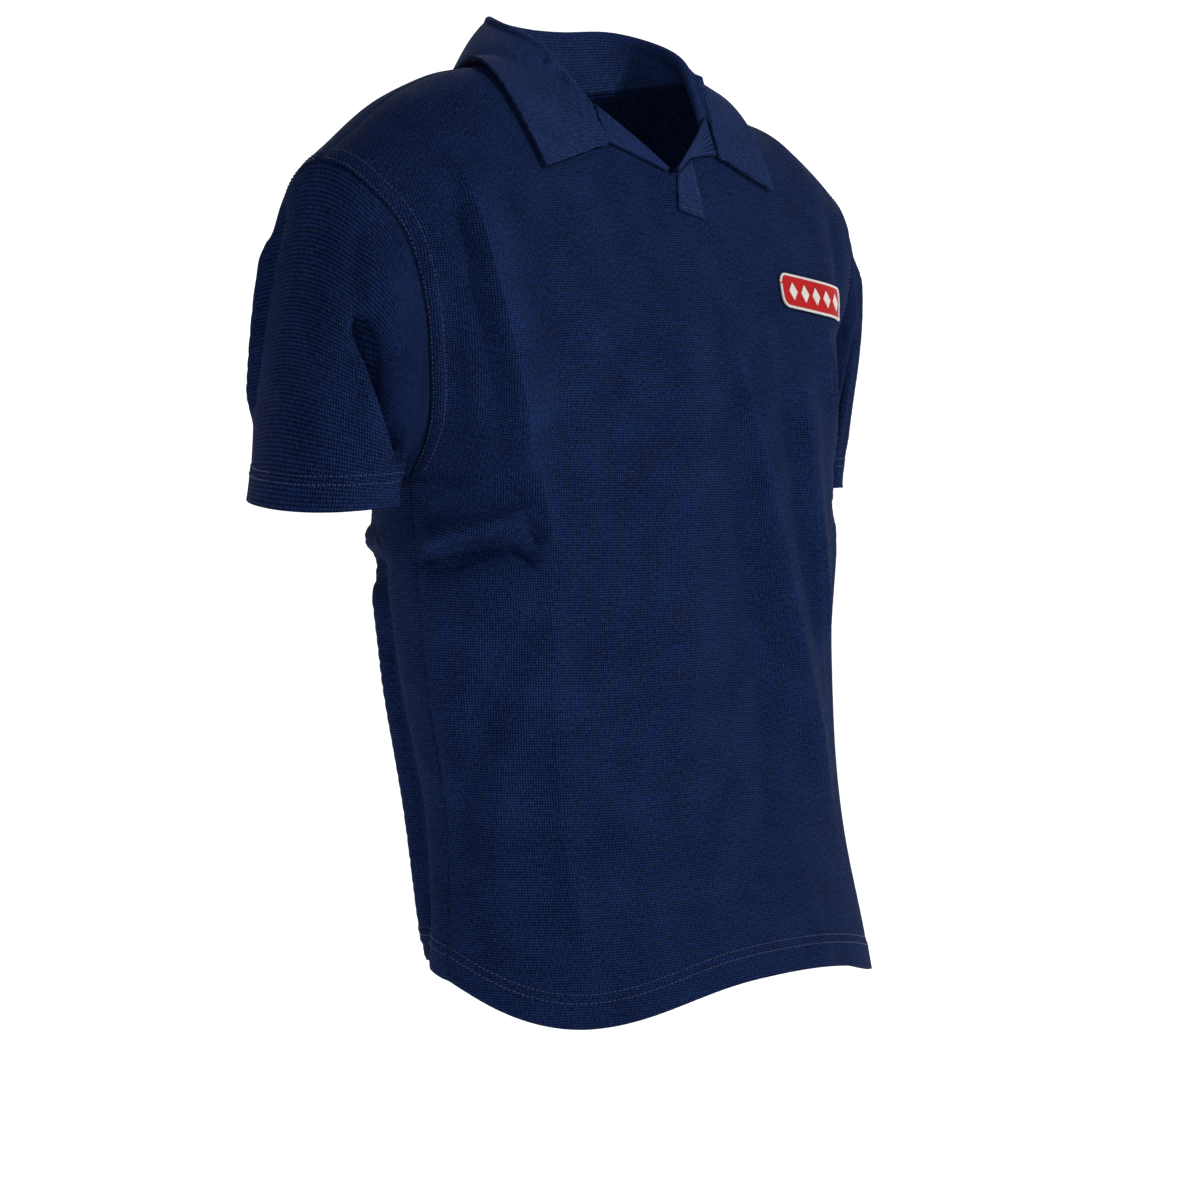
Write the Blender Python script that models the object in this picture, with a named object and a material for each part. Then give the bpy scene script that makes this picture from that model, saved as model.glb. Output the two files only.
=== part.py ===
"""An open-collar polo shirt with short dropped sleeves, hollow, and posed as it is when worn.

Metres, +Z up, the front faces -Y and the wearer's left is +X. The origin lies in the neck: 6 mm over
the two points where the shoulder seams meet the neckline, and 12 mm in front of them. Every piece of
cloth is a thin wall: a grid of points worked out from the garment's sizes, moved out and in by half
the knit's thickness, with a rim round it.
"""
import math

import bpy
import numpy as np


def table(heading, *rows):
    """The columns of a short table, each under its own name."""
    return dict(zip(heading.split(), np.array(rows, dtype=float).T))


# ---- Sizes of the cut and of the figure that fills it -------------------------------------------
KNIT = 0.0018            # thickness of the pique knit with its lofty face
COLLAR_CLOTH = 0.0022    # two layers of the knit, pressed flat
PATCH_CLOTH = 0.0014     # a twill patch with a merrowed edge
SEAM_GAP = 0.0003        # clearance between two pieces that are sewn together
BENT_SEAM = 0.0010       # more of it where the seam is a corner: the neck and the armholes
LAY = 0.0004             # clearance between a piece and the panel that it lies on

NECK_HALF = 0.088        # from the centre to the point where the shoulder seam meets the neck
SHOULDER_HALF = 0.260    # from the centre to the point where the shoulder seam meets the sleeve
RIDGE_RISE = 0.026       # the height at which the two shoulder slopes would meet
RIDGE_SLOPE = 0.26       # fall of the shoulder for each metre outwards
RIDGE_BEND = 1.75        # how much faster it falls towards the arm
NECK_SINK = 0.008        # under the collar the shoulder lies lower, to leave the leaf its room
NECK_SINK_FROM = 0.130
SHOULDER_RISE = 0.0055   # the right shoulder is full between these places, and droops beyond
SHOULDER_FROM = 0.118
SHOULDER_TO = 0.240
SHOULDER_EASE = 0.046
SHOULDER_DROOP = 0.010
DROOP_FROM = 0.170
LEFT_HOLLOW = 0.007      # the left one, drawn back, is hollow between these
HOLLOW_FROM = 0.090
HOLLOW_TO = 0.190
HOLLOW_EASE = 0.040
NECK_SEAM_Y = 0.012
SHOULDER_SEAM_Y = 0.035

FRONT_NECK = table(
    "half  z",
    (0.0000, -0.0820),
    (0.0300, -0.0650),
    (0.0600, -0.0550),
    (0.0780, -0.0320),
    (0.0880, -0.0061),
)
BACK_NECK_DROP = 0.012   # how much lower the nape lies than the ends of the shoulder seams

# The edge of the panels round the armhole, from the shoulder down to the underarm. The turn is how
# far the cloth has turned towards the side where it meets the sleeve, in degrees.
ARMHOLE = table(
    "z       half_width  front_y  back_y   turn",
    (-0.073, 0.2600, -0.0460, 0.0980, 60.0),
    (-0.095, 0.2560, -0.0460, 0.0980, 62.0),
    (-0.110, 0.2500, -0.0460, 0.0980, 64.0),
    (-0.130, 0.2440, -0.0460, 0.0980, 66.0),
    (-0.155, 0.2390, -0.0450, 0.0960, 70.0),
    (-0.187, 0.2345, -0.0440, 0.0930, 74.0),
    (-0.213, 0.2320, -0.0430, 0.0880, 76.0),
    (-0.245, 0.2260, -0.0380, 0.0740, 80.0),
    (-0.275, 0.2190, -0.0240, 0.0400, 86.0),
    (-0.296, 0.2130, -0.0050, -0.0050, 90.0),
)
UNDERARM_Z = -0.296

# The side seam, from the underarm down to the hem.
SIDE = table(
    "z       half_width  seam_y",
    (-0.296, 0.2130, -0.0050),
    (-0.350, 0.2110, -0.0080),
    (-0.400, 0.2060, -0.0080),
    (-0.450, 0.2020, -0.0110),
    (-0.510, 0.1965, -0.0190),
    (-0.560, 0.1960, -0.0240),
    (-0.620, 0.2010, -0.0290),
    (-0.680, 0.2040, -0.0320),
)

# The middle of the front and of the back, down the whole garment.
MIDDLE = table(
    "z       front_y   back_y",
    (0.000, -0.0700, 0.1100),
    (-0.082, -0.0770, 0.1200),
    (-0.114, -0.0810, 0.1240),
    (-0.150, -0.0870, 0.1260),
    (-0.200, -0.0945, 0.1250),
    (-0.250, -0.1010, 0.1190),
    (-0.300, -0.1045, 0.1120),
    (-0.380, -0.1065, 0.1020),
    (-0.450, -0.1095, 0.0940),
    (-0.520, -0.1160, 0.0800),
    (-0.580, -0.1290, 0.0620),
    (-0.620, -0.1400, 0.0490),
    (-0.680, -0.1560, 0.0320),
)

# The hem, by the share of the way from the wearer's right side seam to the left one.
HEM = table(
    "share  front_z   back_z",
    (0.00, -0.644, -0.644),
    (0.10, -0.662, -0.637),
    (0.22, -0.673, -0.638),
    (0.34, -0.667, -0.644),
    (0.46, -0.655, -0.652),
    (0.56, -0.654, -0.660),
    (0.68, -0.662, -0.672),
    (0.84, -0.676, -0.680),
    (1.00, -0.679, -0.679),
)

# The wearer's left arm is held a little further back, so that side of the chest is set back.
SET_BACK = table(
    "z       back",
    (-0.040, 0.0000),
    (-0.110, 0.0010),
    (-0.140, 0.0070),
    (-0.170, 0.0140),
    (-0.205, 0.0290),
    (-0.250, 0.0270),
    (-0.300, 0.0120),
    (-0.360, 0.0020),
    (-0.420, 0.0000),
    (-0.700, 0.0000),
)
SET_BACK_FROM = 0.150    # how far out from the middle the setting back starts, and where it is whole
SET_BACK_WHOLE = 0.225

SECTION_POINTS = 241     # points of the fine line that a row of the grid is taken from, an odd number
SAME_PLACE = 1e-6        # two places nearer than this are one
SQUARE = 0.83            # 1 is an ellipse, less is squarer at the sides of the chest
ROUND_OVER = table(      # how far below the shoulder ridge each panel stops rounding over
    "half  front  back",
    (0.00, 0.270, 0.190),
    (0.08, 0.250, 0.180),
    (0.17, 0.180, 0.150),
    (0.27, 0.130, 0.120),
)

# The largest folds. Each runs through three places, given across the cloth from its middle and by
# height; it stands out by its height, or dips where that is negative, and fades over its width.
FOLDS = {
    "front": table(
        "p0      z0      p1      z1      p2      z2      height   width",
        (-0.246, -0.090, -0.216, -0.180, -0.190, -0.268, -0.0060, 0.013),  # right chest drape
        (-0.226, -0.085, -0.200, -0.180, -0.168, -0.275, 0.0045, 0.013),
        (0.228, -0.090, 0.206, -0.170, 0.186, -0.250, -0.0030, 0.014),     # its twin on the left
        (-0.256, -0.348, -0.215, -0.333, -0.166, -0.319, 0.0080, 0.011),   # pucker from the side seam
        (-0.256, -0.368, -0.205, -0.350, -0.162, -0.352, -0.0070, 0.011),
        (-0.250, -0.330, -0.205, -0.316, -0.172, -0.308, -0.0040, 0.009),
        (-0.168, -0.372, -0.208, -0.465, -0.252, -0.595, -0.0060, 0.014),  # slants to the side seam
        (-0.150, -0.380, -0.186, -0.475, -0.225, -0.610, 0.0030, 0.020),
        (-0.158, -0.300, -0.152, -0.470, -0.160, -0.650, 0.0022, 0.010),   # pressed crease
        (-0.012, -0.150, -0.035, -0.320, -0.045, -0.560, 0.0040, 0.030),   # the chest's middle
        (0.018, -0.200, 0.040, -0.360, 0.030, -0.650, -0.0050, 0.020),
        (0.034, -0.190, 0.066, -0.340, 0.136, -0.580, 0.0060, 0.020),      # left chest drape
        (0.086, -0.230, 0.098, -0.330, 0.124, -0.440, -0.0030, 0.013),
        (0.110, -0.215, 0.122, -0.320, 0.146, -0.440, 0.0040, 0.014),
        (0.176, -0.300, 0.188, -0.450, 0.196, -0.640, -0.0050, 0.017),
        (0.216, -0.310, 0.222, -0.450, 0.226, -0.640, 0.0040, 0.015),
    ),
    "back": table(
        "p0      z0      p1      z1      p2      z2      height   width",
        (-0.206, -0.335, -0.202, -0.500, -0.194, -0.660, -0.0110, 0.014),  # hangs behind the side
        (-0.222, -0.330, -0.206, -0.352, -0.190, -0.385, -0.0060, 0.018),
        (-0.188, -0.320, -0.184, -0.500, -0.174, -0.660, 0.0080, 0.017),
        (0.206, -0.330, 0.202, -0.500, 0.196, -0.660, -0.0090, 0.014),
        (0.184, -0.330, 0.180, -0.500, 0.172, -0.660, 0.0070, 0.017),
        (-0.120, -0.170, -0.092, -0.380, -0.080, -0.640, 0.0060, 0.024),   # from the blades down
        (-0.045, -0.220, -0.030, -0.420, -0.030, -0.650, -0.0050, 0.022),
        (0.110, -0.180, 0.094, -0.380, 0.086, -0.640, 0.0055, 0.022),
        (0.040, -0.260, 0.044, -0.430, 0.036, -0.640, -0.0045, 0.022),
        (-0.235, -0.352, -0.170, -0.345, -0.100, -0.360, 0.0050, 0.012),   # the small of the back
        (0.232, -0.346, 0.165, -0.352, 0.110, -0.372, 0.0050, 0.012),
        (-0.215, -0.110, -0.180, -0.200, -0.150, -0.290, -0.0045, 0.016),  # armhole drapes
        (0.212, -0.115, 0.180, -0.200, 0.155, -0.285, -0.0045, 0.016),
    ),
    # On a sleeve: round it from the shoulder by the front, and down from its seam.
    "sleeve_right": table(
        "p0     z0     p1     z1     p2     z2     height   width",
        (0.072, 0.084, 0.125, 0.086, 0.200, 0.042, -0.0130, 0.016),        # hollow at the front
        (0.074, 0.034, 0.114, 0.046, 0.172, 0.022, 0.0050, 0.014),
        (0.088, 0.124, 0.130, 0.130, 0.176, 0.110, 0.0050, 0.018),
        (0.395, 0.010, 0.375, 0.090, 0.365, 0.180, -0.0080, 0.011),        # behind the arm
        (0.360, 0.010, 0.345, 0.090, 0.345, 0.190, 0.0060, 0.014),
        (0.290, 0.020, 0.262, 0.080, 0.240, 0.130, -0.0060, 0.014),
    ),
    "sleeve_left": table(
        "p0     z0     p1     z1     p2     z2     height   width",
        (0.120, 0.040, 0.150, 0.090, 0.172, 0.170, -0.0100, 0.013),
        (0.070, 0.020, 0.100, 0.090, 0.110, 0.190, 0.0040, 0.014),
        (0.390, 0.020, 0.370, 0.090, 0.355, 0.180, -0.0060, 0.012),
        (0.285, 0.020, 0.262, 0.080, 0.240, 0.130, -0.0060, 0.014),
    ),
}
SEAM_HOLD = 0.028        # folds die out this far from a side seam or an armhole, and from a top edge
TOP_HOLD = 0.030
FOLD_FADE = 0.18         # the share of a fold's length over which it runs out at each end

# The collar, by the share of its half length from the front end to the nape: its roll line, and the
# outer edge of its leaf.
COLLAR = table(
    "share  roll_x   roll_y   roll_z   edge_x   edge_y   edge_z",
    (0.00, 0.0604, -0.0359, -0.0367, 0.1237, -0.0463, -0.0840),
    (0.14, 0.0700, -0.0180, -0.0115, 0.1265, -0.0310, -0.0590),
    (0.28, 0.0777, -0.0006, 0.0092, 0.1265, -0.0110, -0.0340),
    (0.42, 0.0815, 0.0240, 0.0220, 0.1200, 0.0180, -0.0120),
    (0.56, 0.0770, 0.0470, 0.0300, 0.1080, 0.0480, -0.0090),
    (0.71, 0.0600, 0.0650, 0.0340, 0.0830, 0.0760, -0.0120),
    (0.86, 0.0320, 0.0755, 0.0320, 0.0460, 0.0930, -0.0180),
    (1.00, 0.0000, 0.0785, 0.0310, 0.0000, 0.0990, -0.0200),
)
FAR_TIP_DROP = 0.0035    # the wearer's left leaf lies this much lower at its tip
TIP_DROP = 0.0040        # and both tips hang this much below the table
LEAF_SWING = 0.0075      # the leaf lies swung to the wearer's right, back to where its share ends
LEAF_SWING_END = 0.80
LEAF_SWING_EASE = 0.30
NOTCH = (0.0600, -0.0488, -0.0633)  # where the collar's front edge meets the rever
NOTCH_SHARE = 0.30       # how far across the leaf's end the notch lies
COLLAR_END_FADE = 0.30   # the share of the collar over which its cut end straightens out
NOTCH_FOLLOWS = 0.8      # how much of the tip's extra drop its notch takes
ROLL_RADIUS = 0.0034
ROLL_DEPTH = 1.2         # in roll radii: how far below the roll the stand ends and the leaf starts
ROLL_HALFWAY = (0.6, 0.3)  # and the points half way over it, across and down
STAND_SHARES = (0.0, 0.35, 0.7, 1.0)
LEAF_BULGE = 0.004       # how far the middle of the leaf stands up
LEAF_FLOAT = 0.0020      # how far the leaf floats over the panels, and more over the shoulder seams
SHOULDER_FLOAT = 0.0024
SHOULDER_REACH = 0.022
STAND_ROWS = 4           # the collar's grid: so many rows up the stand, and the leaf from this one
ROLL_ROW = 5
FALL_ROW = 7
ROLL_RISE = 0.0010       # the roll stands at least this much over the first of the leaf
STAND_CLEAR = 0.0012     # and over its own stand
FALL_STEPS = 10

# The revers: the front edge turned out, from the roll line's end down to the placket.
REVER = table(
    "share  fold_x   fold_z   right_x  right_z  left_x   left_z",
    (0.00, 0.0598, -0.0372, 0.0594, -0.0625, 0.0594, -0.0655),
    (0.35, 0.0405, -0.0520, 0.0410, -0.0685, 0.0430, -0.0665),
    (0.70, 0.0212, -0.0665, 0.0225, -0.0750, 0.0235, -0.0700),
    (1.00, 0.0050, -0.0790, 0.0060, -0.0810, 0.0070, -0.0800),
)
REVER_FLOAT = 0.0004     # how much more than the clearance the rever stands out, and at its fold
REVER_ROLL = 0.0018
# The strip at the foot of the slit: its two long edges, from under the left rever down.
PLACKET = table(
    "share  right_x  right_z  left_x  left_z",
    (0.0, 0.0050, -0.0822, 0.0256, -0.0712),
    (0.5, -0.0002, -0.0950, 0.0242, -0.0930),
    (1.0, -0.0044, -0.1083, 0.0226, -0.1138),
)

# The sewn patch on the wearer's left chest.
PATCH_CENTRE = (0.1385, -0.1670)
PATCH_SIZE = (0.0865, 0.0240)
PATCH_TILT = -6.0

LEAST_LEAN = 0.55        # how much a mitred seam may lengthen the way through the wall, as its inverse

FRONT_COUNTS = (6, 7, 11, 12, 17)  # columns: to the collar's end, to the neck point, to the edge; rows
BACK_COUNTS = (5, 6, 11, 12, 17)
SLEEVE_ROWS = 12

NAVY = (0.0100, 0.0176, 0.0482)
COLLAR_NAVY = (0.0137, 0.0232, 0.0604)
RED = (0.55, 0.02, 0.03)


# ---- Curves and grids ---------------------------------------------------------------------------
def spline(knots, values, at):
    """A smooth curve through a few values: a natural cubic."""
    order = np.argsort(knots)
    x = np.asarray(knots, dtype=float)[order]
    y = np.asarray(values, dtype=float)[order]
    h = np.diff(x)
    count = len(x)
    system = np.eye(count)
    bend = np.zeros(y.shape)
    for i in range(1, count - 1):
        system[i, i - 1 : i + 2] = h[i - 1], 2 * (h[i - 1] + h[i]), h[i]
        bend[i] = 6 * ((y[i + 1] - y[i]) / h[i] - (y[i] - y[i - 1]) / h[i - 1])
    second = np.linalg.solve(system, bend)
    at = np.clip(np.asarray(at, dtype=float), x[0], x[-1])
    k = np.clip(np.searchsorted(x, at) - 1, 0, count - 2)
    width = h[k]
    a = (x[k + 1] - at) / width
    b = (at - x[k]) / width
    if y.ndim > 1:
        a, b, width = a[..., None], b[..., None], width[..., None]
    curve = (a**3 - a) * second[k] + (b**3 - b) * second[k + 1]
    return a * y[k] + b * y[k + 1] + curve * width**2 / 6


def column(rows, name, at, key="z"):
    return spline(rows[key], rows[name], at)


def smoothstep(x):
    x = np.clip(x, 0.0, 1.0)
    return x * x * (3 - 2 * x)


def unit(v):
    return v / np.maximum(np.linalg.norm(v, axis=-1, keepdims=True), 1e-12)


def lengths(line):
    """The distance along a line of points, from 0."""
    steps = np.linalg.norm(np.diff(line, axis=0), axis=1)
    return np.concatenate([[0.0], np.cumsum(steps)])


def spread(line, shares):
    """Points on a line at these shares of its length."""
    along = lengths(line)
    wanted = np.asarray(shares) * along[-1]
    return np.stack([np.interp(wanted, along, line[:, k]) for k in range(3)], axis=1)


def between(rows, steps):
    """Rows of points with this many steps put in between each two of them."""
    parts = [rows[:-1] + (rows[1:] - rows[:-1]) * (k / steps) for k in range(steps)]
    return np.concatenate([np.stack(parts, axis=1).reshape(-1, *rows.shape[1:]), rows[-1:]])


def grid_normals(grid, wraps):
    """The direction square to a grid of points, at each of them."""
    if wraps:
        across = np.roll(grid, -1, axis=1) - np.roll(grid, 1, axis=1)
    else:
        across = np.gradient(grid, axis=1)
    down = np.gradient(grid, axis=0)
    return unit(np.cross(down, across))


# ---- The body: the front and the back -----------------------------------------------------------
def ridge_z(x):
    """Height of the shoulder line over a place across the body."""
    half = np.abs(x)
    sunk = NECK_SINK * smoothstep((NECK_SINK_FROM - half) / (NECK_SINK_FROM - NECK_HALF))
    inner = smoothstep((half - SHOULDER_FROM) / SHOULDER_EASE)
    full = SHOULDER_RISE * inner * smoothstep((SHOULDER_TO - half) / SHOULDER_EASE)
    droop = SHOULDER_DROOP * (np.maximum(half - DROOP_FROM, 0.0) / (SHOULDER_HALF - DROOP_FROM)) ** 2
    inner = smoothstep((half - HOLLOW_FROM) / HOLLOW_EASE)
    hollow = LEFT_HOLLOW * inner * smoothstep((HOLLOW_TO - half) / HOLLOW_EASE)
    worn = np.where(x < 0, full - droop, -hollow)
    return RIDGE_RISE - RIDGE_SLOPE * half - RIDGE_BEND * half**3 - sunk + worn


def ridge_y(x):
    outwards = (np.abs(x) - NECK_HALF) / (SHOULDER_HALF - NECK_HALF)
    return NECK_SEAM_Y + (SHOULDER_SEAM_Y - NECK_SEAM_Y) * np.clip(outwards, 0.0, 1.5)


def over_shoulder(face, x, y, z):
    """Rounds a section in towards the shoulder line, where the cloth goes over it."""
    reach = np.interp(np.abs(x), ROUND_OVER["half"], ROUND_OVER[face])
    drop = np.clip((ridge_z(x) - z) / reach, 0.0, 1.0)
    kept = np.sqrt(1.0 - (1.0 - drop) ** 2)
    return ridge_y(x) + (y - ridge_y(x)) * kept


def top_edge_z(face, x):
    """The shoulder seam, and the neckline between its inner ends."""
    half = np.abs(x)
    if face == "front":
        neckline = column(FRONT_NECK, "z", half, "half")
    else:
        neckline = ridge_z(NECK_HALF) - BACK_NECK_DROP * (1 - (half / NECK_HALF) ** 2)
    return np.where(half < NECK_HALF - SAME_PLACE, neckline, ridge_z(x))


def section(face, level, low):
    """A line of points across a panel, right to left, at a share of the way down one of its halves."""
    if not low:
        edge_z = ridge_z(SHOULDER_HALF) + (UNDERARM_Z - ridge_z(SHOULDER_HALF)) * level
        rows = ARMHOLE
        edge_y = column(rows, face + "_y", edge_z)
        turn = math.radians(float(column(rows, "turn", edge_z)))
        half_width = float(column(rows, "half_width", edge_z))
    else:
        edge_z = UNDERARM_Z + (column(HEM, "front_z", 0.0, "share") - UNDERARM_Z) * level
        rows = SIDE
        edge_y = column(rows, "seam_y", edge_z)
        turn = math.pi / 2
        half_width = float(column(rows, "half_width", edge_z))
    neck = math.asin(math.sin(turn) * (NECK_HALF / SHOULDER_HALF) ** (1 / SQUARE)) / turn
    angle = np.sort(np.concatenate([np.linspace(-1.0, 1.0, SECTION_POINTS), [-neck, neck]]))
    share = (angle + 1) / 2
    omega = angle * turn
    across = np.sign(omega) * (np.abs(np.sin(omega)) / math.sin(turn)) ** SQUARE
    out = (np.clip((np.cos(omega) - math.cos(turn)) / (1 - math.cos(turn)), 0, None)) ** SQUARE
    x = half_width * across
    underarm_row = np.full_like(x, UNDERARM_Z)
    if not low:
        at_top = top_edge_z(face, x * SHOULDER_HALF / half_width)
        z = at_top + (underarm_row - at_top) * level
    else:
        z = underarm_row + (column(HEM, face + "_z", share, "share") - underarm_row) * level
    centre_y = column(MIDDLE, face + "_y", z)
    y = edge_y + (centre_y - edge_y) * out
    outwards = smoothstep((x - SET_BACK_FROM) / (SET_BACK_WHOLE - SET_BACK_FROM))
    y = y + outwards * np.interp(-z, -SET_BACK["z"], SET_BACK["back"])
    return np.stack([x, over_shoulder(face, x, y, z), z], axis=1)


def panel(face, counts):
    """A panel's grid: rows down from the shoulder and neckline, columns from the right edge to the left."""
    to_collar, to_neck, to_edge, upper, lower = counts
    half = to_collar + to_neck + to_edge
    even = np.arange(half + 1) / half
    down = np.linspace(0.0, 1.0, 90) ** 1.8
    top = section(face, 0.0, False)
    knots = np.cumsum([0, to_collar, to_neck, to_edge]) / half

    def to_corners(line):
        along = lengths(line)
        corners = np.interp((NOTCH[0], NECK_HALF), np.abs(line[:, 0]), along / along[-1])
        return np.interp(even, knots, [0.0, *corners, 1.0])

    to_right = to_corners(top[len(top) // 2 :: -1])
    to_left = to_corners(top[len(top) // 2 :])

    def spaced(level, low):
        line = section(face, level, low)
        middle = len(line) // 2
        keep = 1.0 if low else smoothstep(level / 0.6)
        right = spread(line[middle::-1], (1 - keep) * to_right + keep * even)[::-1]
        left = spread(line[middle:], (1 - keep) * to_left + keep * even)
        return np.concatenate([right[:-1], left])

    high_rows = np.stack([spaced(level, False) for level in down])
    low_rows = np.stack([spaced(level, True) for level in np.linspace(0.0, 1.0, 90)])
    columns = []
    for c in range(high_rows.shape[1]):
        high = spread(high_rows[:, c], np.linspace(0, 1, upper + 1))
        low = spread(low_rows[:, c], np.linspace(0, 1, lower + 1) ** 1.25)
        columns.append(np.concatenate([high, low[1:]]))
    return fold_panel(np.stack(columns, axis=1), face)


class Lay:
    """The finished outer form of the front and back, for pieces that lie on it."""

    def __init__(self, front, back):
        grids = (front, back)
        self.places = np.concatenate([grid.reshape(-1, 3) for grid in grids])
        self.out = np.concatenate([grid_normals(grid, False).reshape(-1, 3) for grid in grids])
        self.on_the_front = np.arange(len(self.places)) < front.shape[0] * front.shape[1]

    def near(self, points, axes):
        """The nearest place of the form to each point; by two axes, of the front alone."""
        far = np.where(self.on_the_front | (len(axes) > 2), 0.0, 1.0)
        found = []
        for point in points.reshape(-1, 3):
            gap = self.places[:, axes] - point[axes]
            found.append(int(np.argmin((gap**2).sum(1) + far)))
        return np.array(found)

    def on_front(self, x, z, lift):
        """Points over places across and up the front, this far out from the middle of its wall."""
        ask = np.stack([x, np.zeros_like(x), z], axis=-1)
        k = self.near(ask, [0, 2])
        at, out = self.places[k].reshape(ask.shape), self.out[k].reshape(ask.shape)
        y = at[..., 1] - (out[..., 0] * (x - at[..., 0]) + out[..., 2] * (z - at[..., 2])) / out[..., 1]
        ask[..., 1] = y
        return ask + out * np.asarray(lift)[..., None], out

    def keep_off(self, points, lift):
        """Moves points out to be at least this far from the middle of the panels' walls."""
        k = self.near(points, [0, 1, 2])
        at, out = self.places[k].reshape(points.shape), self.out[k].reshape(points.shape)
        height = ((points - at) * out).sum(-1)
        return points + out * np.maximum(lift - height, 0.0)[..., None]


# ---- The collar, the revers, the placket and the patch -------------------------------------------
def neckline(front, back):
    """The seam of the collar on both panels, from its right front end round the nape to its left one."""
    first, second = FRONT_COUNTS[0], FRONT_COUNTS[1]
    middle = front.shape[1] // 2
    nape = back.shape[1] // 2
    round_back = BACK_COUNTS[0] + BACK_COUNTS[1]
    right = front[0, middle - first - second : middle - first + 1][::-1]
    rear = back[0, nape - round_back : nape + round_back + 1]
    left = front[0, middle + first : middle + first + second + 1]
    return np.concatenate([right[:-1], rear, left[::-1][1:]])


def collar_grid(seam, lay):
    """Rows from the neck seam up the stand, over the roll and down the leaf; columns round the neck."""
    along = lengths(seam)
    where = along / along[-1] * 2 - 1
    rows = []
    for place, here in zip(seam, where):
        share = 1 - abs(here)
        sign = -1.0 if here < 0 else 1.0
        side = np.array([sign, 1.0, 1.0])
        roll = np.array([column(COLLAR, "roll_" + k, share, "share") for k in "xyz"]) * side
        edge = np.array([column(COLLAR, "edge_" + k, share, "share") for k in "xyz"]) * side
        if share > 0.999:
            roll[0] = edge[0] = 0.0
        tip = np.clip(1 - share / COLLAR_END_FADE, 0.0, 1.0)
        edge[0] -= LEAF_SWING * smoothstep((LEAF_SWING_END - share) / LEAF_SWING_EASE)
        edge[2] -= (TIP_DROP + (FAR_TIP_DROP if sign > 0 else 0.0)) * tip
        outwards = unit((edge - roll) * np.array([1.0, 1.0, 0.0]))
        up = np.array([0.0, 0.0, 1.0])
        stand_in = roll - (outwards + up * ROLL_DEPTH) * ROLL_RADIUS
        fall_out = roll + (outwards - up * ROLL_DEPTH) * ROLL_RADIUS
        notch = np.array(NOTCH) * side
        if sign > 0:
            notch[2] -= FAR_TIP_DROP * NOTCH_FOLLOWS
        bow = notch - (fall_out + (edge - fall_out) * NOTCH_SHARE)
        stand = [place + (stand_in - place) * t for t in STAND_SHARES]
        across, sunk = outwards * ROLL_RADIUS * ROLL_HALFWAY[0], up * ROLL_RADIUS * ROLL_HALFWAY[1]
        over = [roll - across - sunk, roll, roll + across - sunk]
        fall = []
        for t in np.linspace(0.0, 1.0, FALL_STEPS + 1):
            hat = min(t / NOTCH_SHARE, (1 - t) / (1 - NOTCH_SHARE))
            lift = up * LEAF_BULGE * math.sin(math.pi * t) * (1 - tip)
            fall.append(fall_out + (edge - fall_out) * t + bow * hat * tip**2 + lift)
        rows.append(np.array(stand + over + fall))
    grid = np.stack(rows, axis=1)
    laid = KNIT / 2 + LAY + COLLAR_CLOTH / 2
    leaf = grid[FALL_ROW:]
    from_shoulder = (leaf[..., 1] - ridge_y(leaf[..., 0])) / SHOULDER_REACH
    leaf = lay.keep_off(leaf, laid + LEAF_FLOAT + SHOULDER_FLOAT * np.exp(-(from_shoulder**2)))
    rise = np.maximum(leaf[0, :, 2] - grid[ROLL_ROW, :, 2] + ROLL_RISE, 0.0)
    grid[STAND_ROWS - 1 : FALL_ROW, :, 2] += rise
    stand = between(between(grid[:STAND_ROWS], 5).transpose(1, 0, 2), 4).reshape(-1, 3)
    for place in np.ndindex(leaf.shape[:2]):
        away = leaf[place] - stand
        far = np.linalg.norm(away, axis=1)
        nearest = far.argmin()
        push = max(COLLAR_CLOTH + STAND_CLEAR - far[nearest], 0.0)
        leaf[place] += unit(away[nearest]) * push
    grid[FALL_ROW:] = leaf
    return grid


def rever_grid(side, lay):
    steps = np.linspace(0.0, 1.0, 9)
    across = np.linspace(0.0, 1.0, 5)
    sign = -1.0 if side == "right" else 1.0
    fold = [np.interp(steps, REVER["share"], REVER["fold_" + k]) for k in "xz"]
    edge = [np.interp(steps, REVER["share"], REVER[side + "_" + k]) for k in "xz"]
    x = fold[0][None] + (edge[0] - fold[0])[None] * across[:, None]
    z = fold[1][None] + (edge[1] - fold[1])[None] * across[:, None]
    rolled = REVER_ROLL * (1 - across[:, None]) ** 2 * np.ones_like(x)
    return lay.on_front(sign * x, z, KNIT + LAY + REVER_FLOAT + rolled)[0]


def placket_grid(lay):
    down = np.linspace(0.0, 1.0, 7)
    across = np.linspace(0.0, 1.0, 5)
    right = [np.interp(down, PLACKET["share"], PLACKET["right_" + k])[:, None] for k in "xz"]
    left = [np.interp(down, PLACKET["share"], PLACKET["left_" + k])[:, None] for k in "xz"]
    x, z = (near + (far - near) * across for near, far in zip(right, left))
    return lay.on_front(x, z, np.full(x.shape, KNIT + LAY))[0]


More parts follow.
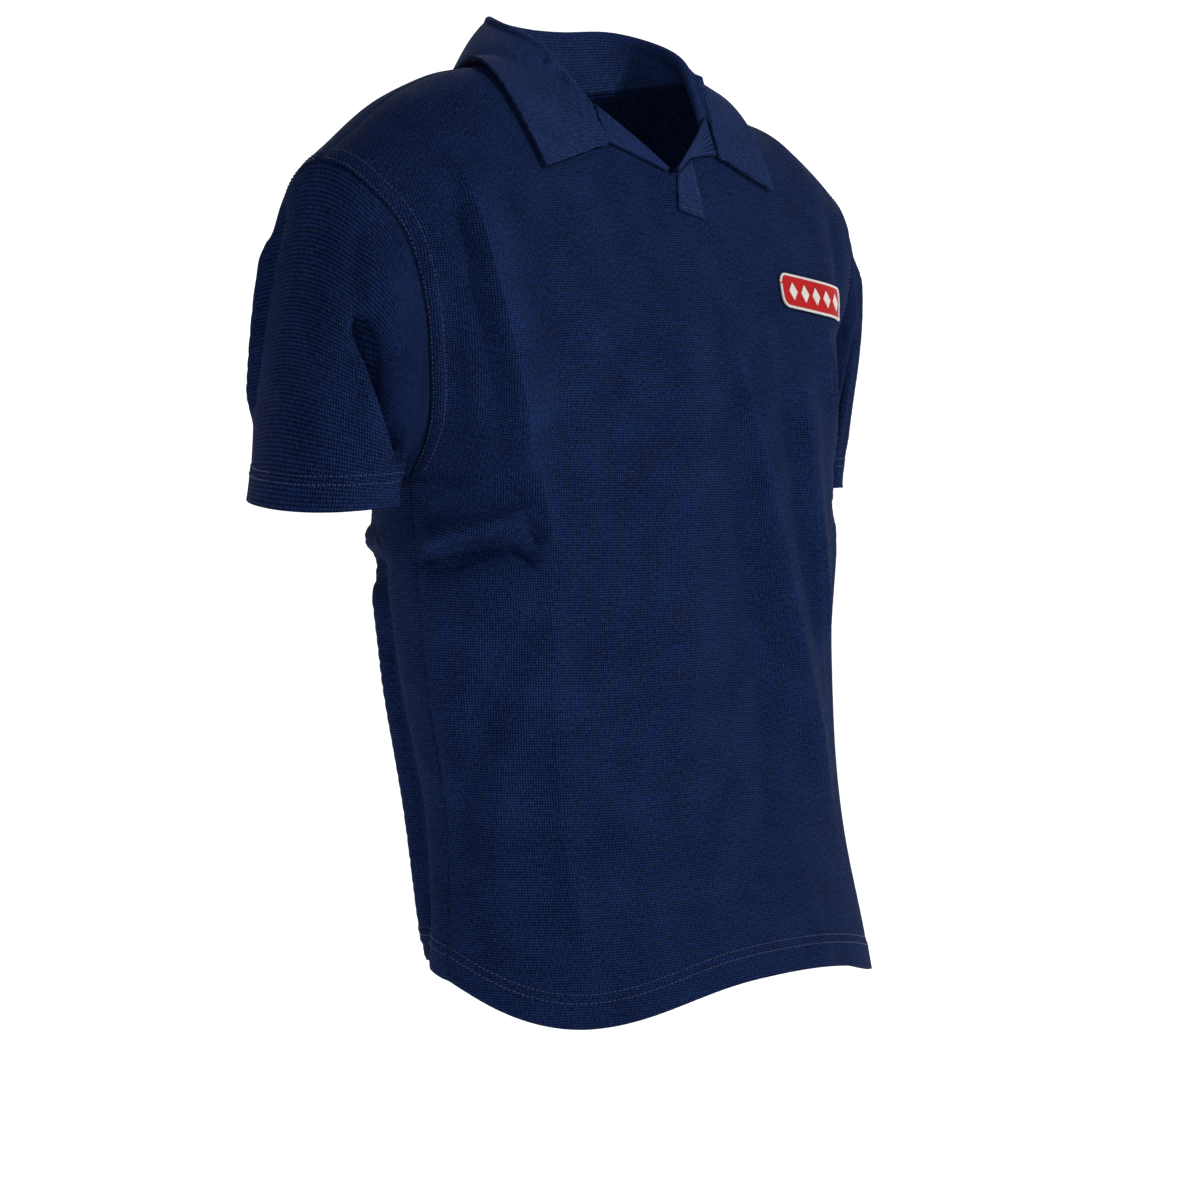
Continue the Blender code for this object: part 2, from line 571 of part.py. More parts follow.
def patch_grid(lay):
    """A rounded rectangle: columns along it, each as tall as the outline is there."""
    length, height = PATCH_SIZE
    radius = height * 0.30
    along = np.linspace(-1.0, 1.0, 15)
    x = np.sin(along * math.pi / 2) * length / 2
    inset = np.clip(np.abs(x) - (length / 2 - radius), 0.0, radius)
    tall = height / 2 - radius + np.sqrt(np.maximum(radius**2 - inset**2, 0.0))
    v = np.linspace(1.0, -1.0, 4)
    local_x = np.repeat(x[None], 4, axis=0)
    local_z = v[:, None] * tall[None]
    tilt = math.radians(PATCH_TILT)
    xs = PATCH_CENTRE[0] + local_x * math.cos(tilt) - local_z * math.sin(tilt)
    zs = PATCH_CENTRE[1] + local_x * math.sin(tilt) + local_z * math.cos(tilt)
    return lay.on_front(xs, zs, np.full(xs.shape, KNIT / 2 + PATCH_CLOTH / 2 + LAY))[0]


# ---- Folds ---------------------------------------------------------------------------------------
def fold_heights(p, q, folds):
    """How far the cloth stands out at places p across and q along it, from all the folds of a table."""
    total = np.zeros(p.shape)
    t = np.linspace(0.0, 1.0, 40)
    for row in zip(*folds.values()):
        p0, q0, p1, q1, p2, q2, height, width = row
        bend_p = 2 * p1 - (p0 + p2) / 2
        bend_q = 2 * q1 - (q0 + q2) / 2
        line_p = (1 - t) ** 2 * p0 + 2 * t * (1 - t) * bend_p + t**2 * p2
        line_q = (1 - t) ** 2 * q0 + 2 * t * (1 - t) * bend_q + t**2 * q2
        gap = (p[..., None] - line_p) ** 2 + (q[..., None] - line_q) ** 2
        nearest = gap.argmin(-1)
        share = t[nearest]
        runs_out = smoothstep(share / FOLD_FADE) * smoothstep((1 - share) / FOLD_FADE)
        away = np.sqrt(gap.min(-1))
        total += height * runs_out * np.exp(-((away / width) ** 2))
    return total


def across_places(grid, middle):
    """Distance across each row of a grid from its middle column."""
    steps = np.linalg.norm(np.diff(grid, axis=1), axis=2)
    along = np.concatenate([np.zeros((grid.shape[0], 1)), np.cumsum(steps, axis=1)], axis=1)
    return along - along[:, middle : middle + 1]


def fold_panel(grid, name):
    """Moves a panel's points out and in by its folds, and leaves its sewn edges where they are."""
    sign = 1.0 if name == "front" else -1.0
    p = across_places(grid, grid.shape[1] // 2)
    height = fold_heights(p, grid[..., 2], FOLDS[name])
    edge = np.minimum(np.abs(p - p[:, :1]), np.abs(p - p[:, -1:]))
    down = np.linalg.norm(grid - grid[:1], axis=2)
    held = smoothstep(edge / SEAM_HOLD) * smoothstep(down / TOP_HOLD)
    return grid + grid_normals(grid, False) * (sign * height * held)[..., None]


def fold_sleeve(grid, name):
    girth = np.concatenate([grid, grid[:, :1]], axis=1)
    p = across_places(girth, 0)[:, :-1]
    p = p * (p[0].max() / np.maximum(p.max(axis=1, keepdims=True), 1e-9))
    q = np.concatenate(
        [np.zeros((1, grid.shape[1])), np.cumsum(np.linalg.norm(np.diff(grid, axis=0), axis=2), axis=0)]
    )
    height = fold_heights(p, q, FOLDS[name])
    sign = -1.0 if name == "sleeve_left" else 1.0
    held = smoothstep(q / TOP_HOLD)
    return grid + grid_normals(grid, True) * (sign * height * held)[..., None]


# ---- The sleeves --------------------------------------------------------------------------------
SLEEVE = {  # the open end of each sleeve: where it is, and how round
    "right": dict(
        sign=-1.0, centre=(-0.2770, 0.0140, -0.3120), out=0.050, fore=0.072, twist=-40.0, lead=0.0,
        flare=1.0, tip=(0.075, 0.067),
    ),
    "left": dict(
        sign=1.0, centre=(0.2620, 0.0680, -0.3120), out=0.040, fore=0.070, twist=0.0, lead=0.50,
        flare=0.6, tip=(0.0, 0.0),
    ),
}
SLEEVE_AXIS = (0.22, 0.0, -0.975)   # which way it hangs, outwards and down
# How the cloth leaves the armhole: outwards and closer over the shoulder, downwards, steeper over the
# shoulder and flatter under the arm, and forwards; then how long both directions hold.
LEAVES_OUT, LEAVES_CLOSER = 0.62, 0.28
LEAVES_DOWN, LEAVES_STEEPER, LEAVES_FLATTER = 0.62, 0.24, 0.60
LEAVES_FORE = 0.12
LEAVES_PULL, HANG_PULL = 0.9, 0.8


def armhole_ring(front, back, sign, upper_front, upper_back):
    """The armhole as a closed ring: shoulder, front, underarm, back."""
    edge = -1 if sign > 0 else 0
    fore = front[: upper_front + 1, edge]
    rear = back[: upper_back + 1, edge]
    return np.concatenate([fore, rear[-2:0:-1]]), upper_front


def sleeve_grid(ring, under, spec):
    sign = spec["sign"]
    count = len(ring)
    fore = lengths(ring[: under + 1])
    rear = lengths(np.concatenate([ring[under:], ring[:1]]))
    turn = np.concatenate([fore / fore[-1] * math.pi, math.pi + rear[1:-1] / rear[-1] * math.pi])
    centre = np.array(spec["centre"])
    twist = math.radians(spec["twist"])
    out_axis = np.array([sign * math.cos(twist), -math.sin(twist), 0.0])
    fore_axis = np.array([-sign * math.sin(twist), -math.cos(twist), 0.0])
    # the ellipse is turned by twist, while the points keep their own bearing round it
    bearing = turn - twist - spec["lead"] * np.sin(turn / 2) ** 4
    hem = centre + np.outer(np.cos(bearing) * spec["out"], out_axis)
    hem = hem + np.outer(np.sin(bearing) * spec["fore"], fore_axis)
    hem[:, 2] += (hem - centre)[:, :2] @ np.array(spec["tip"])
    axis = np.array([sign * SLEEVE_AXIS[0], SLEEVE_AXIS[1], SLEEVE_AXIS[2]])
    above = np.cos(turn)
    under_it = LEAVES_DOWN - LEAVES_FLATTER * above**2
    fall = np.where(above > 0, LEAVES_DOWN + LEAVES_STEEPER * above, under_it)
    outwards = sign * spec["flare"] * (LEAVES_OUT - LEAVES_CLOSER * above)
    start = unit(np.stack([outwards, -LEAVES_FORE * np.sin(turn), -fall], axis=1))
    reach = np.linalg.norm(hem - ring, axis=1, keepdims=True)
    t = np.linspace(0.0, 1.0, SLEEVE_ROWS + 1)[:, None, None]
    return (
        (2 * t**3 - 3 * t**2 + 1) * ring
        + (t**3 - 2 * t**2 + t) * start * reach * LEAVES_PULL
        + (-2 * t**3 + 3 * t**2) * hem
        + (t**3 - t**2) * axis * reach * HANG_PULL
    )


# ---- Walls and nodes ----------------------------------------------------------------------------
class Cloth:
    """A grid of points in the middle of a wall, with the sides that are sewn to another piece."""

    def __init__(self, name, grid, colour, wraps=False, sewn=(), thickness=KNIT):
        self.name = name
        self.grid = grid
        self.colour = colour
        self.wraps = wraps
        self.sewn = sewn
        self.thickness = thickness
        self.through = grid_normals(grid, wraps)

    def sides(self):
        last_row, last_column = self.grid.shape[0] - 1, self.grid.shape[1] - 1
        return {
            "top": (0, slice(None), 1, slice(None)),
            "bottom": (last_row, slice(None), last_row - 1, slice(None)),
            "right": (slice(None), 0, slice(None), 1),
            "left": (slice(None), last_column, slice(None), last_column - 1),
        }


def share_seam_directions(cloths):
    """Gives the meeting points of sewn pieces one direction through the wall, so rims lie side by side."""
    found = {}
    for cloth in cloths:
        for side in cloth.sewn:
            row, col, _, _ = cloth.sides()[side]
            for place, index in zip(cloth.grid[row, col], np.argwhere(side_mask(cloth, side))):
                key = tuple(np.round(place / 2e-5).astype(int))
                found.setdefault(key, []).append((cloth, tuple(index)))
    for meeting in found.values():
        own = {(cloth.name, index): (cloth, index) for cloth, index in meeting}
        walls = {}
        for cloth, index in own.values():
            wall = "body" if cloth.name in ("front", "back") else cloth.name
            walls[wall] = walls.get(wall, np.zeros(3)) + cloth.through[index]
        walls = {wall: unit(total) for wall, total in walls.items()}
        common = unit(sum(walls.values()))
        lean = float(np.clip(min(total @ common for total in walls.values()), LEAST_LEAN, 1.0))
        for cloth, index in own.values():
            cloth.through[index] = common / lean


def side_mask(cloth, side):
    mask = np.zeros(cloth.grid.shape[:2], dtype=bool)
    row, col, _, _ = cloth.sides()[side]
    mask[row, col] = True
    return mask


def open_seams(cloth):
    """Draws each sewn side back by half the seam's gap."""
    moved = cloth.grid.copy()
    for side in cloth.sewn:
        row, col, next_row, next_col = cloth.sides()[side]
        inward = cloth.grid[next_row, next_col] - cloth.grid[row, col]
        through = unit(cloth.through[row, col])
        inward = unit(inward - (inward * through).sum(-1, keepdims=True) * through)
        corner = BENT_SEAM if cloth.name not in ("front", "back") else 0.0
        moved[row, col] += inward * (SEAM_GAP * 0.6 + corner)
    cloth.grid = moved


def wall_faces(rows, cols, wraps):
    """The faces of a closed wall on two sheets of rows by cols points, the outer sheet first."""
    outer = np.arange(rows * cols).reshape(rows, cols)
    inner = outer + rows * cols
    faces = []
    for r in range(rows - 1):
        for c in range(cols if wraps else cols - 1):
            n = (c + 1) % cols
            faces.append((outer[r, c], outer[r + 1, c], outer[r + 1, n], outer[r, n]))
            faces.append((inner[r, c], inner[r, n], inner[r + 1, n], inner[r + 1, c]))
    for c in range(cols if wraps else cols - 1):
        n = (c + 1) % cols
        faces.append((outer[0, c], outer[0, n], inner[0, n], inner[0, c]))
        faces.append((outer[-1, n], outer[-1, c], inner[-1, c], inner[-1, n]))
    if not wraps:
        for r in range(rows - 1):
            faces.append((outer[r + 1, 0], outer[r, 0], inner[r, 0], inner[r + 1, 0]))
            faces.append((outer[r, -1], outer[r + 1, -1], inner[r + 1, -1], inner[r, -1]))
    return [tuple(int(i) for i in face) for face in faces]


def material(name, colour, roughness):
    made = bpy.data.materials.new(name)
    made.use_nodes = True
    shader = made.node_tree.nodes["Principled BSDF"]
    shader.inputs["Base Color"].default_value = (*colour, 1.0)
    shader.inputs["Roughness"].default_value = roughness
    shader.inputs["Metallic"].default_value = 0.0
    made.diffuse_color = (*colour, 1.0)
    return made


def add_node(cloth, parent):
    outer = cloth.grid + cloth.through * cloth.thickness / 2
    inner = cloth.grid - cloth.through * cloth.thickness / 2
    rows, cols = cloth.grid.shape[:2]
    points = np.concatenate([outer.reshape(-1, 3), inner.reshape(-1, 3)])
    faces = wall_faces(rows, cols, cloth.wraps)
    mesh = bpy.data.meshes.new(cloth.name)
    mesh.from_pydata([tuple(p) for p in points], [], faces)
    if signed_volume(points, faces) < 0:
        mesh.flip_normals()
    mesh.shade_smooth()
    mesh.materials.append(material(cloth.name + "_knit", cloth.colour, 0.85))
    made = bpy.data.objects.new(cloth.name, mesh)
    made.parent = parent
    bpy.context.scene.collection.objects.link(made)
    return made


def signed_volume(points, faces):
    total = 0.0
    for a, b, c, d in faces:
        total += np.dot(points[a], np.cross(points[b], points[c]))
        total += np.dot(points[a], np.cross(points[c], points[d]))
    return total / 6


def build():
    for old in list(bpy.data.objects):
        bpy.data.objects.remove(old, do_unlink=True)
    front = panel("front", FRONT_COUNTS)
    back = panel("back", BACK_COUNTS)
    fine_front = panel("front", tuple(3 * n for n in FRONT_COUNTS))
    fine_back = panel("back", tuple(3 * n for n in BACK_COUNTS))
    lay = Lay(fine_front, fine_back[:, ::-1])
    cloths = [
        Cloth("front", front, NAVY, sewn=("top", "right", "left")),
        Cloth("back", back[:, ::-1], NAVY, sewn=("top", "right", "left")),
    ]
    for side, spec in SLEEVE.items():
        ring, under = armhole_ring(front, back, spec["sign"], FRONT_COUNTS[3], BACK_COUNTS[3])
        grid = fold_sleeve(sleeve_grid(ring, under, spec), "sleeve_" + side)
        if spec["sign"] > 0:
            grid = grid[:, ::-1]
        cloths.append(Cloth("sleeve_" + side, grid, NAVY, wraps=True, sewn=("top",)))
    collar = collar_grid(neckline(front, back), lay)
    cloths.append(Cloth("collar", collar, COLLAR_NAVY, sewn=("top",), thickness=COLLAR_CLOTH))
    for side in ("right", "left"):
        cloths.append(Cloth("rever_" + side, rever_grid(side, lay), COLLAR_NAVY))
    cloths.append(Cloth("placket", placket_grid(lay), COLLAR_NAVY))
    cloths.append(Cloth("patch", patch_grid(lay), RED, thickness=PATCH_CLOTH))
    share_seam_directions(cloths)
    holder = bpy.data.objects.new("polo_shirt", None)
    bpy.context.scene.collection.objects.link(holder)
    for cloth in cloths:
        open_seams(cloth)
        add_node(cloth, holder)


build()
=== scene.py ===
# %% [markdown]
# # An open-collar polo shirt in pique knit
# This is a short-sleeved shirt with dropped shoulders, a spread collar and turned-out revers, in
# the form that it has when it is worn. A garment can be built for Blender by draping flat pattern
# pieces with the Cloth physics, by sculpting, or by working each panel out as a grid of points
# from the cut's sizes. The last is used here: the panels then meet at the seams, every crease is
# a row in a table, and the same numbers give the same shirt each time.

# %% The frame
import math

import bpy
import numpy as np
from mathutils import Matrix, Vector


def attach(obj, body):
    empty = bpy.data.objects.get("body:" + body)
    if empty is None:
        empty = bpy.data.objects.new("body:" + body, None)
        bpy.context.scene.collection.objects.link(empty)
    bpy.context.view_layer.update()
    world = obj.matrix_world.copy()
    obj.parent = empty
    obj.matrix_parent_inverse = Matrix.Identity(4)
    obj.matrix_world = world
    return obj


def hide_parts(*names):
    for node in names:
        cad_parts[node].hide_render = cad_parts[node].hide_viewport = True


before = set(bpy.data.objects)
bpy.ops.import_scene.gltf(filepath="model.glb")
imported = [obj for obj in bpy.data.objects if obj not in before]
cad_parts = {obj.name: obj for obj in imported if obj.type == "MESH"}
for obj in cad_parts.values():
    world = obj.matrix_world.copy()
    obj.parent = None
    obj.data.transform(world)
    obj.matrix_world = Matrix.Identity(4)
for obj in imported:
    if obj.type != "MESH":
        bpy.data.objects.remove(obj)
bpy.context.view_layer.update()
print("solids:", sorted(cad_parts))


def table(heading, *rows):
    """The columns of a short table, each under its own name."""
    return dict(zip(heading.split(), np.array(rows, dtype=float).T))


# %% [markdown]
# ## The camera
# The shirt is seen from its front right, a little below the chest's height, through a long lens:
# the horizon crosses the picture above its middle, so the camera looks slightly down. Placing it
# by its bearing, distance and tilt is easier to read than a matrix copied from somewhere.

# %% Camera
CAMERA_BEARING = math.radians(48.0)      # how far round from straight ahead it stands
CAMERA_DISTANCE = 2.4                    # metres from the garment's own upright line
CAMERA_HEIGHT = -0.262
CAMERA_SIDESTEP = -0.0088                # puts that line a little right of the picture's middle
PICTURE_PX, FOCAL_PX = 1200.0, 3264.0    # the picture's width, and the lens in the same pixels
HORIZON_PX = 175.0                       # how far above the picture's middle the horizon lies
CAMERA_TILT = math.atan2(HORIZON_PX, FOCAL_PX)
SENSOR_MM = 36.0

ahead = Vector((math.sin(CAMERA_BEARING), math.cos(CAMERA_BEARING), 0.0))
rightwards = Vector((math.cos(CAMERA_BEARING), -math.sin(CAMERA_BEARING), 0.0))
aim = (ahead * math.cos(CAMERA_TILT) - Vector((0, 0, math.sin(CAMERA_TILT)))).normalized()
camera_data = bpy.data.cameras.new("studio_camera")
camera_data.lens, camera_data.sensor_width = SENSOR_MM * FOCAL_PX / PICTURE_PX, SENSOR_MM
camera = bpy.data.objects.new("studio_camera", camera_data)
camera.location = rightwards * CAMERA_SIDESTEP - ahead * CAMERA_DISTANCE
camera.location.z += CAMERA_HEIGHT
camera.rotation_euler = aim.to_track_quat("-Z", "Y").to_euler()
bpy.context.scene.collection.objects.link(camera)
bpy.context.scene.camera = camera
print("camera at", [round(v, 3) for v in camera.location])

# %% [markdown]
# ## Sizes of the cut and of its worn form
# A maker starts from a size chart. These are the widths of the neck and shoulders, the thickness
# of the knit, and tables of how wide and deep the worn garment is at each height, with one named
# column for each measure.

# %% Cloth, neck and shoulders
KNIT = 0.0018            # thickness of the pique knit with its lofty face
COLLAR_CLOTH = 0.0022    # two layers of the knit, pressed flat
PATCH_CLOTH = 0.0014     # a twill patch with a merrowed edge
SEAM_GAP = 0.0003        # clearance between two pieces that are sewn together
BENT_SEAM = 0.0010       # more of it where the seam is a corner: the neck and the armholes
LAY = 0.0004             # clearance between a piece and the panel that it lies on
LEAST_LEAN = 0.55        # a mitred seam may lengthen the way through the wall by 1 over this
NECK_HALF = 0.088        # from the centre to the point where the shoulder seam meets the neck
SHOULDER_HALF = 0.260    # from the centre to the point where the shoulder seam meets the sleeve
RIDGE_RISE = 0.026       # the height at which the two shoulder slopes would meet
RIDGE_SLOPE = 0.26       # fall of the shoulder for each metre outwards
RIDGE_BEND = 1.75        # how much faster it falls towards the arm
NECK_SINK = 0.008        # under the collar the shoulder lies lower, to leave the leaf its room
NECK_SINK_FROM = 0.130
SHOULDER_RISE = 0.0055   # the right shoulder is full between these places, and droops beyond
SHOULDER_FROM = 0.118
SHOULDER_TO = 0.240
SHOULDER_EASE = 0.046
SHOULDER_DROOP = 0.010
DROOP_FROM = 0.170
LEFT_HOLLOW = 0.007      # the left one, drawn back, is hollow between these
HOLLOW_FROM = 0.090
HOLLOW_TO = 0.190
HOLLOW_EASE = 0.040
NECK_SEAM_Y = 0.012      # how far behind the middle the shoulder seam lies at the neck
SHOULDER_SEAM_Y = 0.035  # and at the sleeve
FRONT_NECK = table(
    "half  z",
    (0.0000, -0.0820),
    (0.0300, -0.0650),
    (0.0600, -0.0550),
    (0.0780, -0.0320),
    (0.0880, -0.0061),
)
BACK_NECK_DROP = 0.012   # how much lower the nape lies than the ends of the shoulder seams
print("shoulder seam to shoulder seam, mm:", round(2000 * SHOULDER_HALF))

# %% The worn body
# The edge of the panels round the armhole, from the shoulder down to the underarm. The turn is how
# far the cloth has turned towards the side where it meets the sleeve, in degrees.
ARMHOLE = table(
    "z       half_width  front_y  back_y   turn",
    (-0.073, 0.2600, -0.0460, 0.0980, 60.0),
    (-0.095, 0.2560, -0.0460, 0.0980, 62.0),
    (-0.110, 0.2500, -0.0460, 0.0980, 64.0),
    (-0.130, 0.2440, -0.0460, 0.0980, 66.0),
    (-0.155, 0.2390, -0.0450, 0.0960, 70.0),
    (-0.187, 0.2345, -0.0440, 0.0930, 74.0),
    (-0.213, 0.2320, -0.0430, 0.0880, 76.0),
    (-0.245, 0.2260, -0.0380, 0.0740, 80.0),
    (-0.275, 0.2190, -0.0240, 0.0400, 86.0),
    (-0.296, 0.2130, -0.0050, -0.0050, 90.0),
)
UNDERARM_Z = -0.296
# The side seam, from the underarm down to the hem.
SIDE = table(
    "z       half_width  seam_y",
    (-0.296, 0.2130, -0.0050),
    (-0.350, 0.2110, -0.0080),
    (-0.400, 0.2060, -0.0080),
    (-0.450, 0.2020, -0.0110),
    (-0.510, 0.1965, -0.0190),
    (-0.560, 0.1960, -0.0240),
    (-0.620, 0.2010, -0.0290),
    (-0.680, 0.2040, -0.0320),
)
# The middle of the front and of the back, down the whole garment.
MIDDLE = table(
    "z       front_y   back_y",
    (0.000, -0.0700, 0.1100),
    (-0.082, -0.0770, 0.1200),
    (-0.114, -0.0810, 0.1240),
    (-0.150, -0.0870, 0.1260),
    (-0.200, -0.0945, 0.1250),
    (-0.250, -0.1010, 0.1190),
    (-0.300, -0.1045, 0.1120),
    (-0.380, -0.1065, 0.1020),
    (-0.450, -0.1095, 0.0940),
    (-0.520, -0.1160, 0.0800),
    (-0.580, -0.1290, 0.0620),
    (-0.620, -0.1400, 0.0490),
    (-0.680, -0.1560, 0.0320),
)
# The hem, by the share of the way from the wearer's right side seam to the left one.
HEM = table(
    "share  front_z   back_z",
    (0.00, -0.644, -0.644),
    (0.10, -0.662, -0.637),
    (0.22, -0.673, -0.638),
    (0.34, -0.667, -0.644),
    (0.46, -0.655, -0.652),
    (0.56, -0.654, -0.660),
    (0.68, -0.662, -0.672),
    (0.84, -0.676, -0.680),
    (1.00, -0.679, -0.679),
)
# The shirt's left side is drawn a little further back, so that side of the chest is set back.
SET_BACK = table(
    "z       back",
    (-0.040, 0.0000),
    (-0.110, 0.0010),
    (-0.140, 0.0070),
    (-0.170, 0.0140),
    (-0.205, 0.0290),
    (-0.250, 0.0270),
    (-0.300, 0.0120),
    (-0.360, 0.0020),
    (-0.420, 0.0000),
    (-0.700, 0.0000),
)
SET_BACK_FROM = 0.150    # how far out from the middle the setting back starts, and is whole
SET_BACK_WHOLE = 0.225
SECTION_POINTS = 241     # points of the fine line that a row of the grid is taken from; odd
SECTION_ROWS = 90        # such lines in each half of a panel
TOP_CROWDING = 1.8       # over 1, the lines stand closer towards the shoulder
HEM_CROWDING = 1.25      # over 1, the grid's rows stand closer towards the underarm
EVEN_FROM = 0.6          # the share of the upper half by which a row's points are evenly spaced
SAME_PLACE = 1e-6        # two places nearer than this are one
SQUARE = 0.83            # 1 is an ellipse, less is squarer at the sides of the chest
ROUND_OVER = table(      # how far below the shoulder ridge each panel stops rounding over
    "half  front  back",
    (0.00, 0.270, 0.190),
    (0.08, 0.250, 0.180),
    (0.17, 0.180, 0.150),
    (0.27, 0.130, 0.120),
)
print("hem hangs at mm:", round(1000 * float(HEM["front_z"].min())))

# %% [markdown]
# ## Folds
# These are the folds that show from a step away. Each runs through three places of the cloth,
# stands out or dips by its height and fades over its width. Sculpting them would look as good,
# but a table can be read, and the solids were made from the same rows.

# %% Large folds
# p: across the cloth from its middle; z: height; a fold dips where its own height is negative
FOLDS = {
    "front": table(
        "p0      z0      p1      z1      p2      z2      height   width",
        (-0.246, -0.090, -0.216, -0.180, -0.190, -0.268, -0.0060, 0.013),  # right chest drape
        (-0.226, -0.085, -0.200, -0.180, -0.168, -0.275, 0.0045, 0.013),
        (0.228, -0.090, 0.206, -0.170, 0.186, -0.250, -0.0030, 0.014),     # its twin on the left
        (-0.256, -0.348, -0.215, -0.333, -0.166, -0.319, 0.0080, 0.011),   # side pucker
        (-0.256, -0.368, -0.205, -0.350, -0.162, -0.352, -0.0070, 0.011),
        (-0.250, -0.330, -0.205, -0.316, -0.172, -0.308, -0.0040, 0.009),
        (-0.168, -0.372, -0.208, -0.465, -0.252, -0.595, -0.0060, 0.014),  # slants to the side seam
        (-0.150, -0.380, -0.186, -0.475, -0.225, -0.610, 0.0030, 0.020),
        (-0.158, -0.300, -0.152, -0.470, -0.160, -0.650, 0.0022, 0.010),   # pressed crease
        (-0.012, -0.150, -0.035, -0.320, -0.045, -0.560, 0.0040, 0.030),   # the chest's middle
        (0.018, -0.200, 0.040, -0.360, 0.030, -0.650, -0.0050, 0.020),
        (0.034, -0.190, 0.066, -0.340, 0.136, -0.580, 0.0060, 0.020),      # drape
        (0.086, -0.230, 0.098, -0.330, 0.124, -0.440, -0.0030, 0.013),
        (0.110, -0.215, 0.122, -0.320, 0.146, -0.440, 0.0040, 0.014),
        (0.176, -0.300, 0.188, -0.450, 0.196, -0.640, -0.0050, 0.017),
        (0.216, -0.310, 0.222, -0.450, 0.226, -0.640, 0.0040, 0.015),
    ),
    "back": table(
        "p0      z0      p1      z1      p2      z2      height   width",
        (-0.206, -0.335, -0.202, -0.500, -0.194, -0.660, -0.0110, 0.014),  # hangs behind the side
        (-0.222, -0.330, -0.206, -0.352, -0.190, -0.385, -0.0060, 0.018),
        (-0.188, -0.320, -0.184, -0.500, -0.174, -0.660, 0.0080, 0.017),
        (0.206, -0.330, 0.202, -0.500, 0.196, -0.660, -0.0090, 0.014),
        (0.184, -0.330, 0.180, -0.500, 0.172, -0.660, 0.0070, 0.017),
        (-0.120, -0.170, -0.092, -0.380, -0.080, -0.640, 0.0060, 0.024),   # from the blades down
        (-0.045, -0.220, -0.030, -0.420, -0.030, -0.650, -0.0050, 0.022),
        (0.110, -0.180, 0.094, -0.380, 0.086, -0.640, 0.0055, 0.022),
        (0.040, -0.260, 0.044, -0.430, 0.036, -0.640, -0.0045, 0.022),
        (-0.235, -0.352, -0.170, -0.345, -0.100, -0.360, 0.0050, 0.012),   # the small of the back
        (0.232, -0.346, 0.165, -0.352, 0.110, -0.372, 0.0050, 0.012),
        (-0.215, -0.110, -0.180, -0.200, -0.150, -0.290, -0.0045, 0.016),  # armhole drapes
        (0.212, -0.115, 0.180, -0.200, 0.155, -0.285, -0.0045, 0.016),
    ),
    # On a sleeve: round it from the shoulder by the front, and down from its seam.
    "sleeve_right": table(
        "p0     z0     p1     z1     p2     z2     height   width",
        (0.072, 0.084, 0.125, 0.086, 0.200, 0.042, -0.0130, 0.016),        # hollow at the front
        (0.074, 0.034, 0.114, 0.046, 0.172, 0.022, 0.0050, 0.014),
        (0.088, 0.124, 0.130, 0.130, 0.176, 0.110, 0.0050, 0.018),
        (0.395, 0.010, 0.375, 0.090, 0.365, 0.180, -0.0080, 0.011),        # behind the arm
        (0.360, 0.010, 0.345, 0.090, 0.345, 0.190, 0.0060, 0.014),
        (0.290, 0.020, 0.262, 0.080, 0.240, 0.130, -0.0060, 0.014),
    ),
    "sleeve_left": table(
        "p0     z0     p1     z1     p2     z2     height   width",
        (0.120, 0.040, 0.150, 0.090, 0.172, 0.170, -0.0100, 0.013),
        (0.070, 0.020, 0.100, 0.090, 0.110, 0.190, 0.0040, 0.014),
        (0.390, 0.020, 0.370, 0.090, 0.355, 0.180, -0.0060, 0.012),
        (0.285, 0.020, 0.262, 0.080, 0.240, 0.130, -0.0060, 0.014),
    ),
}
SEAM_HOLD = 0.028        # folds die out this far from a side seam or an armhole
TOP_HOLD = 0.030         # and from a top edge
FOLD_STEPS = 40          # places along a fold at which its nearest point is looked for
FOLD_FADE = 0.18         # the share of a fold's length over which it runs out at each end
print("large folds:", {name: len(rows["p0"]) for name, rows in FOLDS.items()})

# %% [markdown]
# ## Small creases
# Besides the large drapes, worn knit has sharper, shallower creases: a pucker where the side seam
# pulls, a pressed line down the front, and pulls that hang from the chest. They use the same kind
# of table. A crease has a width of its own on either side of its line, as cloth often falls off
# steeply on one side alone, and it says how crisp its crest is: 0 is round and 1 is a pressed
# edge.

